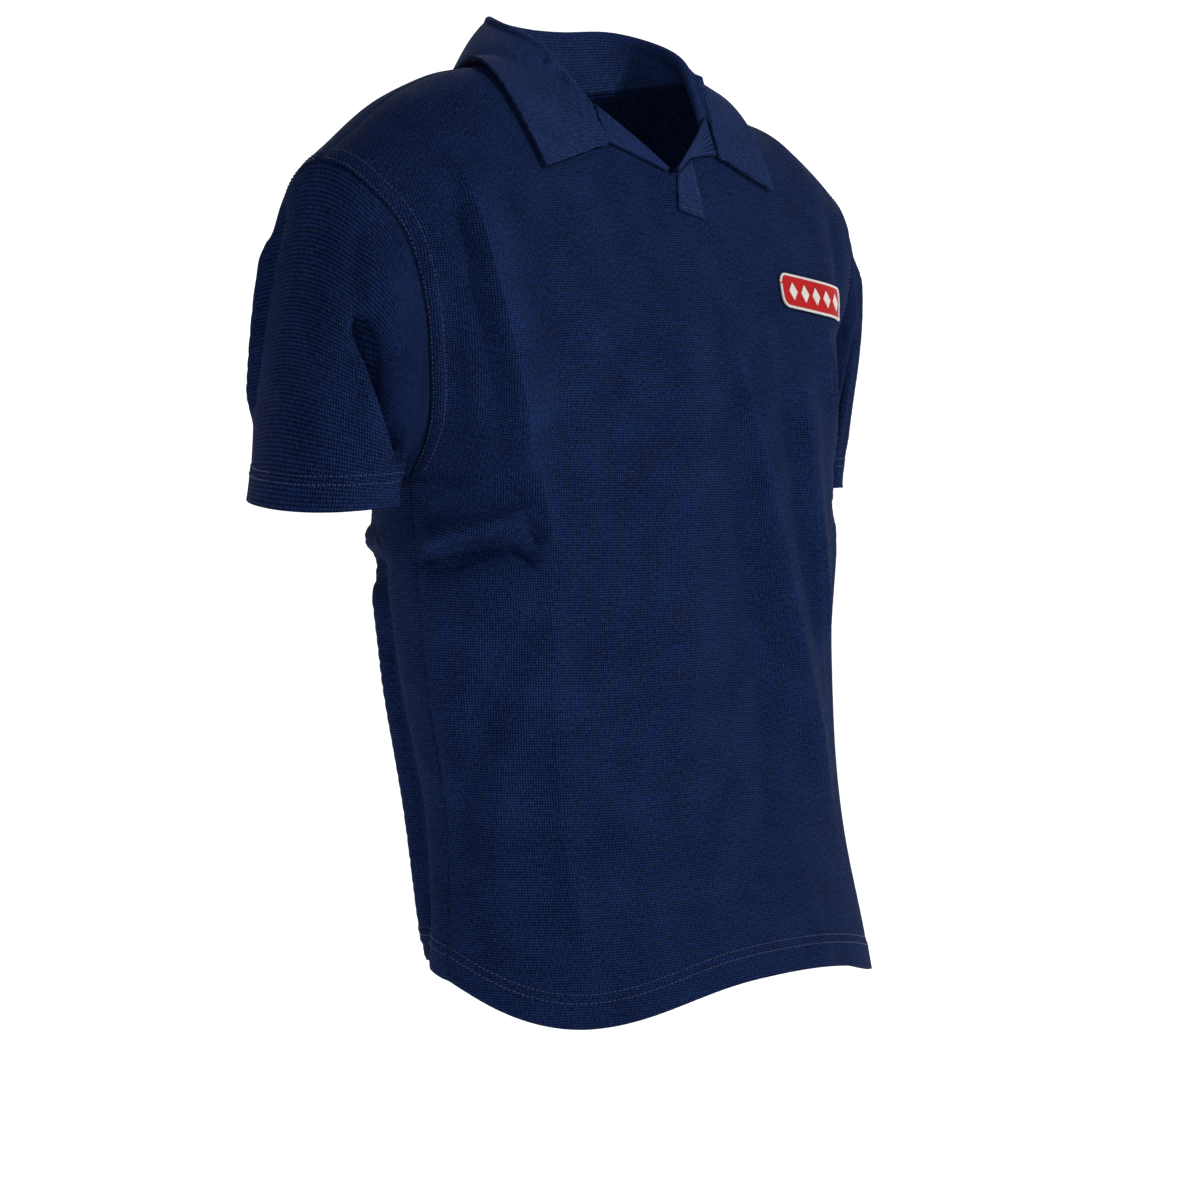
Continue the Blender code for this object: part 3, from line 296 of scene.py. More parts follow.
# %% Small creases
# less: the width towards smaller places across, or below; more: the width on the other side
FINE_FOLDS = {
    "front": table(
        "p0      z0      p1      z1      p2      z2      height   less    more    crisp",
        (-0.236, -0.078, -0.207, -0.172, -0.167, -0.312, 0.0070, 0.0230, 0.0320, 1.0),  # chest
        (-0.248, -0.150, -0.238, -0.220, -0.218, -0.325, -0.0065, 0.0160, 0.0160, 0.0),
        (-0.222, -0.230, -0.200, -0.270, -0.182, -0.296, -0.0012, 0.0060, 0.0060, 0.0),
        (-0.256, -0.331, -0.210, -0.322, -0.166, -0.312, -0.0030, 0.0050, 0.0070, 0.6),  # pucker
        (-0.256, -0.343, -0.214, -0.333, -0.180, -0.329, 0.0026, 0.0060, 0.0060, 0.0),
        (-0.257, -0.355, -0.217, -0.345, -0.186, -0.343, -0.0062, 0.0085, 0.0050, 0.9),
        (-0.188, -0.343, -0.181, -0.350, -0.172, -0.357, -0.0032, 0.0040, 0.0040, 1.0),
        (-0.181, -0.320, -0.174, -0.334, -0.163, -0.340, -0.0040, 0.0040, 0.0040, 0.3),
        (-0.184, -0.330, -0.178, -0.338, -0.171, -0.348, 0.0026, 0.0040, 0.0040, 0.0),
        (-0.167, -0.292, -0.163, -0.318, -0.159, -0.346, 0.0032, 0.0050, 0.0060, 0.8),
        (-0.256, -0.372, -0.222, -0.364, -0.190, -0.370, 0.0012, 0.0060, 0.0060, 0.0),
        (-0.170, -0.366, -0.204, -0.447, -0.248, -0.545, 0.0060, 0.0240, 0.0110, 0.9),  # to side
        (-0.190, -0.400, -0.222, -0.480, -0.254, -0.560, -0.0020, 0.0080, 0.0080, 0.0),
        (-0.162, -0.352, -0.156, -0.480, -0.158, -0.652, 0.0022, 0.0050, 0.0120, 1.0),  # pressed
        (-0.144, -0.596, -0.138, -0.624, -0.131, -0.652, 0.0012, 0.0060, 0.0060, 1.0),
        (-0.066, -0.220, -0.058, -0.242, -0.049, -0.264, 0.0009, 0.0060, 0.0060, 1.0),
        (0.018, -0.186, 0.060, -0.332, 0.136, -0.580, 0.0062, 0.0260, 0.0120, 0.9),  # drape
        (0.018, -0.210, 0.020, -0.330, 0.066, -0.490, -0.0040, 0.0160, 0.0160, 0.0),
        (0.101, -0.215, 0.117, -0.305, 0.147, -0.440, 0.0056, 0.0160, 0.0100, 0.9),
        (0.148, -0.186, 0.156, -0.216, 0.158, -0.266, 0.0030, 0.0100, 0.0080, 1.0),
        (0.062, -0.196, 0.066, -0.220, 0.068, -0.250, 0.0016, 0.0080, 0.0080, 0.3),
        (0.076, -0.230, 0.088, -0.310, 0.110, -0.400, -0.0018, 0.0100, 0.0080, 0.0),
        (-0.024, -0.160, -0.036, -0.260, -0.034, -0.360, 0.0012, 0.0140, 0.0100, 0.3),
        (-0.100, -0.170, -0.112, -0.290, -0.100, -0.420, -0.0010, 0.0120, 0.0120, 0.0),
        (-0.240, -0.074, -0.222, -0.086, -0.196, -0.094, 0.0012, 0.0070, 0.0080, 0.0),
        (0.240, -0.072, 0.220, -0.086, 0.196, -0.094, 0.0012, 0.0080, 0.0080, 0.0),
        (0.250, -0.330, 0.214, -0.322, 0.172, -0.330, -0.0010, 0.0060, 0.0070, 0.6),  # on the left
        (0.250, -0.348, 0.210, -0.342, 0.170, -0.352, 0.0008, 0.0060, 0.0060, 0.3),
        (0.236, -0.090, 0.212, -0.170, 0.186, -0.270, -0.0024, 0.0080, 0.0100, 0.4),
        (0.060, -0.580, 0.070, -0.620, 0.074, -0.660, 0.0012, 0.0100, 0.0100, 0.0),
    ),
    "back": table(
        "p0      z0      p1      z1      p2      z2      height   less    more    crisp",
        (-0.246, -0.350, -0.190, -0.340, -0.130, -0.350, 0.0026, 0.0060, 0.0060, 0.4),
        (-0.246, -0.365, -0.190, -0.356, -0.140, -0.366, -0.0032, 0.0060, 0.0060, 0.7),
        (0.246, -0.346, 0.186, -0.346, 0.136, -0.362, 0.0008, 0.0060, 0.0060, 0.4),
        (0.246, -0.361, 0.186, -0.362, 0.146, -0.382, -0.0010, 0.0060, 0.0060, 0.7),
        (-0.204, -0.390, -0.200, -0.500, -0.194, -0.650, -0.0034, 0.0090, 0.0070, 0.8),
        (0.204, -0.390, 0.200, -0.500, 0.196, -0.650, -0.0028, 0.0070, 0.0090, 0.8),
        (-0.122, -0.176, -0.098, -0.330, -0.086, -0.520, 0.0028, 0.0100, 0.0160, 0.8),
        (0.114, -0.184, 0.098, -0.340, 0.088, -0.540, 0.0026, 0.0160, 0.0100, 0.8),
        (-0.216, -0.116, -0.190, -0.180, -0.160, -0.256, -0.0026, 0.0080, 0.0080, 0.5),
        (0.214, -0.118, 0.188, -0.184, 0.162, -0.250, -0.0024, 0.0080, 0.0080, 0.5),
        (-0.052, -0.246, -0.036, -0.380, -0.032, -0.530, -0.0020, 0.0120, 0.0090, 0.5),
        (0.044, -0.280, 0.046, -0.400, 0.038, -0.570, -0.0018, 0.0090, 0.0120, 0.5),
        (-0.120, -0.434, 0.000, -0.446, 0.110, -0.438, 0.0009, 0.0060, 0.0060, 0.3),
        (0.150, -0.250, 0.142, -0.390, 0.134, -0.540, 0.0018, 0.0100, 0.0080, 0.6),
        (-0.166, -0.270, -0.150, -0.400, -0.142, -0.560, 0.0020, 0.0080, 0.0110, 0.6),
    ),
    "sleeve_right": table(
        "p0     q0     p1     q1     p2     q2     height   less    more    crisp",
        (0.066, 0.078, 0.124, 0.086, 0.204, 0.040, -0.0120, 0.0080, 0.0100, 0.9),  # under the pinch
        (0.060, 0.030, 0.082, 0.060, 0.088, 0.084, 0.0034, 0.0090, 0.0060, 0.6),
        (0.080, 0.110, 0.110, 0.122, 0.150, 0.120, 0.0034, 0.0100, 0.0100, 0.0),
        (0.533, 0.012, 0.520, 0.080, 0.492, 0.150, -0.0090, 0.0060, 0.0060, 0.9),  # behind the arm
        (0.512, 0.020, 0.500, 0.085, 0.474, 0.140, 0.0060, 0.0110, 0.0090, 0.0),
        (0.440, 0.020, 0.430, 0.090, 0.420, 0.170, -0.0040, 0.0090, 0.0090, 0.4),
        (0.395, 0.010, 0.375, 0.090, 0.362, 0.170, -0.0030, 0.0080, 0.0080, 0.6),
        (0.296, 0.010, 0.270, 0.060, 0.246, 0.120, -0.0030, 0.0070, 0.0070, 0.5),
        (0.030, 0.060, 0.034, 0.120, 0.030, 0.190, 0.0008, 0.0120, 0.0120, 0.3),
    ),
    "sleeve_left": table(
        "p0     q0     p1     q1     p2     q2     height   less    more    crisp",
        (0.118, 0.036, 0.150, 0.090, 0.174, 0.176, -0.0044, 0.0080, 0.0080, 0.7),
        (0.070, 0.020, 0.100, 0.090, 0.110, 0.190, 0.0020, 0.0110, 0.0090, 0.4),
        (0.392, 0.016, 0.370, 0.090, 0.352, 0.184, -0.0036, 0.0080, 0.0080, 0.6),
        (0.440, 0.020, 0.432, 0.090, 0.424, 0.170, 0.0026, 0.0110, 0.0090, 0.4),
        (0.286, 0.018, 0.262, 0.080, 0.238, 0.136, -0.0030, 0.0080, 0.0080, 0.4),
    ),
}
CREASE_STEPS = 60        # places along a crease at which its nearest point is looked for
CREASE_HOLD = 0.012      # creases die out this far from a side seam or an armhole
print("small creases:", {name: len(rows["p0"]) for name, rows in FINE_FOLDS.items()})

# %% [markdown]
# ## The collar, the revers, the placket and the patch
# A shirt collar is a band that stands up from the neck seam, rolls over and falls as a leaf. It
# is described by its roll line and the leaf's edge, at a few shares of its half length.

# %% Collar, revers and placket
# The collar, by the share of its half length from the front end to the nape: its roll line, and the
# outer edge of its leaf.
COLLAR = table(
    "share  roll_x   roll_y   roll_z   edge_x   edge_y   edge_z",
    (0.00, 0.0604, -0.0359, -0.0367, 0.1237, -0.0463, -0.0840),
    (0.14, 0.0700, -0.0180, -0.0115, 0.1265, -0.0310, -0.0590),
    (0.28, 0.0777, -0.0006, 0.0092, 0.1265, -0.0110, -0.0340),
    (0.42, 0.0815, 0.0240, 0.0220, 0.1200, 0.0180, -0.0120),
    (0.56, 0.0770, 0.0470, 0.0300, 0.1080, 0.0480, -0.0090),
    (0.71, 0.0600, 0.0650, 0.0340, 0.0830, 0.0760, -0.0120),
    (0.86, 0.0320, 0.0755, 0.0320, 0.0460, 0.0930, -0.0180),
    (1.00, 0.0000, 0.0785, 0.0310, 0.0000, 0.0990, -0.0200),
)
FAR_TIP_DROP = 0.0035    # the wearer's left leaf lies this much lower at its tip
TIP_DROP = 0.0040        # and both tips hang this much below the table
LEAF_SWING = 0.0075      # the leaf lies swung to the wearer's right, back to where its share ends
LEAF_SWING_END = 0.80
LEAF_SWING_EASE = 0.30
NOTCH = (0.0600, -0.0488, -0.0633)  # where the collar's front edge meets the rever
NOTCH_SHARE = 0.30       # how far across the leaf's end the notch lies
COLLAR_END_FADE = 0.30   # the share of the collar over which its cut end straightens out
NOTCH_FOLLOWS = 0.8      # how much of the tip's extra drop its notch takes
ROLL_RADIUS = 0.0034
ROLL_DEPTH = 1.2         # in roll radii: how far below the roll the stand ends and the leaf starts
ROLL_HALFWAY = (0.6, 0.3)  # and the points half way over it, across and down
STAND_SHARES = (0.0, 0.35, 0.7, 1.0)
LEAF_BULGE = 0.004       # how far the middle of the leaf stands up
LEAF_FLOAT = 0.0020      # how far the leaf floats over the panels
SHOULDER_FLOAT = 0.0024  # and how much more over the shoulder seams, within this reach of them
SHOULDER_REACH = 0.022
STAND_CLEAR = 0.0012     # how far it floats over its own stand
STAND_ROWS = 4           # the collar's grid: rows up the stand, then the roll's, the leaf's first
ROLL_ROW = 5
FALL_ROW = 7
FALL_STEPS = 10          # and the steps down the leaf
ROLL_RISE = 0.0010       # the roll stands at least this much over the first of the leaf
COLLAR_FINER = 4         # each of those steps becomes so many
NAPE_SHARE = 0.999       # from this share on, a place is the middle of the nape
# The revers: the front edge turned out, from the roll line's end down to the placket.
REVER = table(
    "share  fold_x   fold_z   right_x  right_z  left_x   left_z",
    (0.00, 0.0598, -0.0372, 0.0594, -0.0625, 0.0594, -0.0655),
    (0.35, 0.0405, -0.0520, 0.0410, -0.0685, 0.0430, -0.0665),
    (0.70, 0.0212, -0.0665, 0.0225, -0.0750, 0.0235, -0.0700),
    (1.00, 0.0050, -0.0790, 0.0060, -0.0810, 0.0070, -0.0800),
)
REVER_FLOAT = 0.0004     # how much more than the clearance the rever stands out, and at its fold
REVER_ROLL = 0.0018
# The strip at the foot of the slit: its two long edges, from under the left rever down.
PLACKET = table(
    "share  right_x  right_z  left_x  left_z",
    (0.0, 0.0050, -0.0822, 0.0256, -0.0712),
    (0.5, -0.0002, -0.0950, 0.0242, -0.0930),
    (1.0, -0.0044, -0.1083, 0.0226, -0.1138),
)
# The sewn patch on the wearer's left chest.
PATCH_CENTRE = (0.1385, -0.1670)
PATCH_SIZE = (0.0865, 0.0240)
PATCH_TILT = -6.0        # degrees, down towards the arm
PATCH_CORNER = 0.30      # the radius of its corners, in its heights
REVER_GRID, PLACKET_GRID, PATCH_GRID = (21, 41), (31, 25), (25, 81)  # rows and columns of points
print("collar points at", COLLAR["edge_x"][0], "m from the middle")

# %% Grid counts and sleeves
# Columns from the middle to the collar's end, to the neck point and to the edge; rows down to the
# underarm and down to the hem.
FRONT_COUNTS = (24, 28, 44, 84, 120)
BACK_COUNTS = (20, 24, 44, 84, 120)
SLEEVE_ROWS = 76
SLEEVE = {  # the open end of each sleeve: where it is, and how round
    "right": dict(
        sign=-1.0, centre=(-0.2770, 0.0140, -0.3120), out=0.050, fore=0.072, twist=-40.0, lead=0.0,
        flare=1.0, tip=(0.075, 0.067),
    ),
    "left": dict(
        sign=1.0, centre=(0.2620, 0.0680, -0.3120), out=0.040, fore=0.070, twist=0.0, lead=0.50,
        flare=0.6, tip=(0.0, 0.0),
    ),
}
SLEEVE_AXIS = (0.22, 0.0, -0.975)   # which way it hangs, outwards and down
# How the cloth leaves the armhole: outwards, and closer over the shoulder; downwards, steeper over
# the shoulder and flatter under the arm; forwards. Then how long the first and last directions
# hold.
LEAVES_OUT, LEAVES_CLOSER = 0.62, 0.28
LEAVES_DOWN, LEAVES_STEEPER, LEAVES_FLATTER = 0.62, 0.24, 0.60
LEAVES_FORE = 0.12
LEAVES_PULL, HANG_PULL = 0.9, 0.8
print("sleeve openings, half widths in m:", SLEEVE["right"]["out"], SLEEVE["right"]["fore"])

# %% [markdown]
# ## Curves and grids
# A natural cubic spline turns a few sizes into a smooth curve, and a grid's normal at a point is
# square to its row and its column. Blender's own curve objects could do the first, but plain
# numbers keep the panels' points at hand for everything that is sewn to them.

# %% Curves
def spline(knots, values, at):
    """A smooth curve through a few values: a natural cubic."""
    order = np.argsort(knots)
    x = np.asarray(knots, dtype=float)[order]
    y = np.asarray(values, dtype=float)[order]
    h = np.diff(x)
    count = len(x)
    system = np.eye(count)
    bend = np.zeros(y.shape)
    for i in range(1, count - 1):
        system[i, i - 1 : i + 2] = h[i - 1], 2 * (h[i - 1] + h[i]), h[i]
        bend[i] = 6 * ((y[i + 1] - y[i]) / h[i] - (y[i] - y[i - 1]) / h[i - 1])
    second = np.linalg.solve(system, bend)
    at = np.clip(np.asarray(at, dtype=float), x[0], x[-1])
    k = np.clip(np.searchsorted(x, at) - 1, 0, count - 2)
    width = h[k]
    a = (x[k + 1] - at) / width
    b = (at - x[k]) / width
    if y.ndim > 1:
        a, b, width = a[..., None], b[..., None], width[..., None]
    curve = (a**3 - a) * second[k] + (b**3 - b) * second[k + 1]
    return a * y[k] + b * y[k + 1] + curve * width**2 / 6


def column(rows, name, at, key="z"):
    return spline(rows[key], rows[name], at)


def smoothstep(x):
    x = np.clip(x, 0.0, 1.0)
    return x * x * (3 - 2 * x)


def unit(v):
    return v / np.maximum(np.linalg.norm(v, axis=-1, keepdims=True), 1e-12)


def lengths(line):
    """The distance along a line of points, from 0."""
    steps = np.linalg.norm(np.diff(line, axis=0), axis=1)
    return np.concatenate([[0.0], np.cumsum(steps)])


def spread(line, shares):
    """Points on a line at these shares of its length."""
    along = lengths(line)
    wanted = np.asarray(shares) * along[-1]
    return np.stack([np.interp(wanted, along, line[:, k]) for k in range(3)], axis=1)


print("half chest width at the underarm:", float(column(ARMHOLE, "half_width", UNDERARM_Z)))

# %% Grids
def between(rows, steps):
    """Rows of points with this many steps put in between each two of them."""
    parts = [rows[:-1] + (rows[1:] - rows[:-1]) * (k / steps) for k in range(steps)]
    return np.concatenate([np.stack(parts, axis=1).reshape(-1, *rows.shape[1:]), rows[-1:]])


def grid_normals(grid, wraps):
    """The direction square to a grid of points, at each of them."""
    if wraps:
        across = np.roll(grid, -1, axis=1) - np.roll(grid, 1, axis=1)
    else:
        across = np.gradient(grid, axis=1)
    down = np.gradient(grid, axis=0)
    return unit(np.cross(down, across))


# %% [markdown]
# ## A panel of the body
# A section is one line of points across a panel, shaped like a squared ellipse and rounded in
# towards the shoulder line. A panel is its sections from shoulder to hem. Lofting through drawn
# curves would give the same surface; working it out keeps the seams of front and back on the same
# points.

# %% Shoulder line and neckline
def ridge_z(x):
    """Height of the shoulder line over a place across the body."""
    half = np.abs(x)
    sunk = NECK_SINK * smoothstep((NECK_SINK_FROM - half) / (NECK_SINK_FROM - NECK_HALF))
    inner = smoothstep((half - SHOULDER_FROM) / SHOULDER_EASE)
    full = SHOULDER_RISE * inner * smoothstep((SHOULDER_TO - half) / SHOULDER_EASE)
    past = np.maximum(half - DROOP_FROM, 0.0) / (SHOULDER_HALF - DROOP_FROM)
    droop = SHOULDER_DROOP * past**2
    inner = smoothstep((half - HOLLOW_FROM) / HOLLOW_EASE)
    hollow = LEFT_HOLLOW * inner * smoothstep((HOLLOW_TO - half) / HOLLOW_EASE)
    worn = np.where(x < 0, full - droop, -hollow)
    return RIDGE_RISE - RIDGE_SLOPE * half - RIDGE_BEND * half**3 - sunk + worn


def ridge_y(x):
    outwards = (np.abs(x) - NECK_HALF) / (SHOULDER_HALF - NECK_HALF)
    return NECK_SEAM_Y + (SHOULDER_SEAM_Y - NECK_SEAM_Y) * np.clip(outwards, 0.0, 1.5)


def over_shoulder(face, x, y, z):
    """Rounds a section in towards the shoulder line, where the cloth goes over it."""
    reach = np.interp(np.abs(x), ROUND_OVER["half"], ROUND_OVER[face])
    drop = np.clip((ridge_z(x) - z) / reach, 0.0, 1.0)
    kept = np.sqrt(1.0 - (1.0 - drop) ** 2)
    return ridge_y(x) + (y - ridge_y(x)) * kept


def top_edge_z(face, x):
    """The shoulder seam, and the neckline between its inner ends."""
    half = np.abs(x)
    if face == "front":
        neckline = column(FRONT_NECK, "z", half, "half")
    else:
        neckline = ridge_z(NECK_HALF) - BACK_NECK_DROP * (1 - (half / NECK_HALF) ** 2)
    return np.where(half < NECK_HALF - SAME_PLACE, neckline, ridge_z(x))


# %% Sections
def section(face, level, low):
    """A line of points across a panel, right to left, at a share of the way down one half of it."""
    if low:
        edge_z = UNDERARM_Z + (column(HEM, "front_z", 0.0, "share") - UNDERARM_Z) * level
        edge_y = column(SIDE, "seam_y", edge_z)
        turn = math.pi / 2
    else:
        edge_z = ridge_z(SHOULDER_HALF) + (UNDERARM_Z - ridge_z(SHOULDER_HALF)) * level
        edge_y = column(ARMHOLE, face + "_y", edge_z)
        turn = math.radians(float(column(ARMHOLE, "turn", edge_z)))
    half_width = float(column(SIDE if low else ARMHOLE, "half_width", edge_z))
    neck = math.asin(math.sin(turn) * (NECK_HALF / SHOULDER_HALF) ** (1 / SQUARE)) / turn
    angle = np.sort(np.concatenate([np.linspace(-1.0, 1.0, SECTION_POINTS), [-neck, neck]]))
    share = (angle + 1) / 2
    omega = angle * turn
    across = np.sign(omega) * (np.abs(np.sin(omega)) / math.sin(turn)) ** SQUARE
    out = (np.clip((np.cos(omega) - math.cos(turn)) / (1 - math.cos(turn)), 0, None)) ** SQUARE
    x = half_width * across
    underarm_row = np.full_like(x, UNDERARM_Z)
    if not low:
        at_top = top_edge_z(face, x * SHOULDER_HALF / half_width)
        z = at_top + (underarm_row - at_top) * level
    else:
        z = underarm_row + (column(HEM, face + "_z", share, "share") - underarm_row) * level
    centre_y = column(MIDDLE, face + "_y", z)
    y = edge_y + (centre_y - edge_y) * out
    outwards = smoothstep((x - SET_BACK_FROM) / (SET_BACK_WHOLE - SET_BACK_FROM))
    y = y + outwards * np.interp(-z, -SET_BACK["z"], SET_BACK["back"])
    return np.stack([x, over_shoulder(face, x, y, z), z], axis=1)


def fold_heights(p, q, folds, steps):
    """How far the cloth stands out at places p across and q along it, from all the rows of a table.

    A large fold is round and as wide on both sides; a small crease has two widths and a crispness.
    """
    total = np.zeros(p.shape)
    t = np.linspace(0.0, 1.0, steps)
    for p0, q0, p1, q1, p2, q2, height, less, *rest in zip(*folds.values()):
        more, crisp = rest or (less, 0.0)
        bend_p, bend_q = 2 * p1 - (p0 + p2) / 2, 2 * q1 - (q0 + q2) / 2
        line_p = (1 - t) ** 2 * p0 + 2 * t * (1 - t) * bend_p + t**2 * p2
        line_q = (1 - t) ** 2 * q0 + 2 * t * (1 - t) * bend_q + t**2 * q2
        gap = (p[..., None] - line_p) ** 2 + (q[..., None] - line_q) ** 2
        nearest = gap.argmin(-1)
        away_p, away_q = p - line_p[nearest], q - line_q[nearest]
        side = np.gradient(line_p)[nearest] * away_q - np.gradient(line_q)[nearest] * away_p
        away = np.sqrt(gap.min(-1)) / np.where(side > 0, more, less)
        share = t[nearest]
        runs_out = smoothstep(share / FOLD_FADE) * smoothstep((1 - share) / FOLD_FADE)
        profile = (1 - crisp) * np.exp(-(away**2)) + crisp * np.exp(-away)
        total += height * runs_out * profile
    return total


def across_places(grid, middle):
    """Distance across each row of a grid from its middle column."""
    steps = np.linalg.norm(np.diff(grid, axis=1), axis=2)
    along = np.concatenate([np.zeros((grid.shape[0], 1)), np.cumsum(steps, axis=1)], axis=1)
    return along - along[:, middle : middle + 1]


def from_sides(p):
    """Distance from each place across a panel to the nearer of its two sides."""
    return np.minimum(np.abs(p - p[:, :1]), np.abs(p - p[:, -1:]))


def fold_panel(grid, name):
    """Moves a panel's points out and in by its folds, and leaves its sewn edges where they are."""
    sign = 1.0 if name == "front" else -1.0
    p = across_places(grid, grid.shape[1] // 2)
    height = fold_heights(p, grid[..., 2], FOLDS[name], FOLD_STEPS)
    down = np.linalg.norm(grid - grid[:1], axis=2)
    held = smoothstep(from_sides(p) / SEAM_HOLD) * smoothstep(down / TOP_HOLD)
    return grid + grid_normals(grid, False) * (sign * height * held)[..., None]


# %% Panel
def panel(face, counts):
    """A panel's grid: rows down from shoulder and neckline, columns from its right edge."""
    to_collar, to_neck, to_edge, upper, lower = counts
    half = to_collar + to_neck + to_edge
    even = np.arange(half + 1) / half
    down = np.linspace(0.0, 1.0, SECTION_ROWS) ** TOP_CROWDING
    top = section(face, 0.0, False)
    knots = np.cumsum([0, to_collar, to_neck, to_edge]) / half

    def to_corners(line):
        along = lengths(line)
        corners = np.interp((NOTCH[0], NECK_HALF), np.abs(line[:, 0]), along / along[-1])
        return np.interp(even, knots, [0.0, *corners, 1.0])

    to_right = to_corners(top[len(top) // 2 :: -1])
    to_left = to_corners(top[len(top) // 2 :])

    def spaced(level, low):
        line = section(face, level, low)
        middle = len(line) // 2
        keep = 1.0 if low else smoothstep(level / EVEN_FROM)
        right = spread(line[middle::-1], (1 - keep) * to_right + keep * even)[::-1]
        left = spread(line[middle:], (1 - keep) * to_left + keep * even)
        return np.concatenate([right[:-1], left])

    high_rows = np.stack([spaced(level, False) for level in down])
    low_rows = np.stack([spaced(level, True) for level in np.linspace(0.0, 1.0, SECTION_ROWS)])
    columns = []
    for c in range(high_rows.shape[1]):
        high = spread(high_rows[:, c], np.linspace(0, 1, upper + 1))
        low = spread(low_rows[:, c], np.linspace(0, 1, lower + 1) ** HEM_CROWDING)
        columns.append(np.concatenate([high, low[1:]]))
    return fold_panel(np.stack(columns, axis=1), face)


def crease(grid, name, wraps):
    """Adds the small creases of a piece to its grid."""
    if wraps:
        p, q, held = sleeve_places(grid)
        sign = -1.0 if name == "sleeve_left" else 1.0
    else:
        p = across_places(grid, grid.shape[1] // 2)
        q = grid[..., 2]
        sign = 1.0 if name == "front" else -1.0
        held = smoothstep(from_sides(p) / CREASE_HOLD)
    height = fold_heights(p, q, FINE_FOLDS[name], CREASE_STEPS) * sign * held
    return grid + grid_normals(grid, wraps) * height[..., None]


# %% What lies on a panel
class Lay:
    """The finished outer form of the front and back, for pieces that lie on it."""

    def __init__(self, front, back):
        grids = (front, back)
        self.places = np.concatenate([grid.reshape(-1, 3) for grid in grids])
        self.out = np.concatenate([grid_normals(grid, False).reshape(-1, 3) for grid in grids])
        self.on_the_front = np.arange(len(self.places)) < front.shape[0] * front.shape[1]

    def near(self, points, axes):
        """The nearest place of the form to each point; by two axes, of the front alone."""
        far = np.where(self.on_the_front | (len(axes) > 2), 0.0, 1.0)
        found = []
        for point in points.reshape(-1, 3):
            gap = self.places[:, axes] - point[axes]
            found.append(int(np.argmin((gap**2).sum(1) + far)))
        return np.array(found)

    def on_front(self, x, z, lift):
        """Points over places across and up the front, this far out from the middle of its wall."""
        ask = np.stack([x, np.zeros_like(x), z], axis=-1)
        k = self.near(ask, [0, 2])
        at, out = self.places[k].reshape(ask.shape), self.out[k].reshape(ask.shape)
        rise = out[..., 0] * (x - at[..., 0]) + out[..., 2] * (z - at[..., 2])
        ask[..., 1] = at[..., 1] - rise / out[..., 1]
        return ask + out * np.asarray(lift)[..., None], out

    def keep_off(self, points, lift):
        """Moves points out to be at least this far from the middle of the panels' walls."""
        k = self.near(points, [0, 1, 2])
        at, out = self.places[k].reshape(points.shape), self.out[k].reshape(points.shape)
        height = ((points - at) * out).sum(-1)
        return points + out * np.maximum(lift - height, 0.0)[..., None]


# %% [markdown]
# ## A sleeve
# A dropped sleeve is a short tube. It leaves the armhole outwards and down, and ends in an oval
# that hangs nearly level. Each point runs along its own smooth path from the armhole to that
# oval.

# %% Sleeve
def armhole_ring(front, back, sign, upper_front, upper_back):
    """The armhole as a closed ring: shoulder, front, underarm, back."""
    edge = -1 if sign > 0 else 0
    fore = front[: upper_front + 1, edge]
    rear = back[: upper_back + 1, edge]
    return np.concatenate([fore, rear[-2:0:-1]]), upper_front


def sleeve_grid(ring, under, spec):
    """Rows of rings from the armhole down to the sleeve's opening."""
    sign = spec["sign"]
    count = len(ring)
    fore = lengths(ring[: under + 1])
    rear = lengths(np.concatenate([ring[under:], ring[:1]]))
    turn = np.concatenate([fore / fore[-1] * math.pi, math.pi + rear[1:-1] / rear[-1] * math.pi])
    centre = np.array(spec["centre"])
    twist = math.radians(spec["twist"])
    out_axis = np.array([sign * math.cos(twist), -math.sin(twist), 0.0])
    fore_axis = np.array([-sign * math.sin(twist), -math.cos(twist), 0.0])
    # the ellipse is turned by twist, while the points keep their own bearing round it
    bearing = turn - twist - spec["lead"] * np.sin(turn / 2) ** 4
    hem = centre + np.outer(np.cos(bearing) * spec["out"], out_axis)
    hem = hem + np.outer(np.sin(bearing) * spec["fore"], fore_axis)
    hem[:, 2] += (hem - centre)[:, :2] @ np.array(spec["tip"])
    axis = np.array([sign * SLEEVE_AXIS[0], SLEEVE_AXIS[1], SLEEVE_AXIS[2]])
    above = np.cos(turn)
    under_it = LEAVES_DOWN - LEAVES_FLATTER * above**2
    fall = np.where(above > 0, LEAVES_DOWN + LEAVES_STEEPER * above, under_it)
    outwards = sign * spec["flare"] * (LEAVES_OUT - LEAVES_CLOSER * above)
    start = unit(np.stack([outwards, -LEAVES_FORE * np.sin(turn), -fall], axis=1))
    reach = np.linalg.norm(hem - ring, axis=1, keepdims=True)
    t = np.linspace(0.0, 1.0, SLEEVE_ROWS + 1)[:, None, None]
    return (
        (2 * t**3 - 3 * t**2 + 1) * ring
        + (t**3 - 2 * t**2 + t) * start * reach * LEAVES_PULL
        + (-2 * t**3 + 3 * t**2) * hem
        + (t**3 - t**2) * axis * reach * HANG_PULL
    )


def sleeve_places(grid):
    """Each point's place round the sleeve and down it, and how free it is of the seam."""
    girth = np.concatenate([grid, grid[:, :1]], axis=1)
    p = across_places(girth, 0)[:, :-1]
    p = p * (p[0].max() / np.maximum(p.max(axis=1, keepdims=True), 1e-9))
    steps = np.linalg.norm(np.diff(grid, axis=0), axis=2)
    q = np.concatenate([np.zeros((1, grid.shape[1])), np.cumsum(steps, axis=0)])
    return p, q, smoothstep(q / TOP_HOLD)


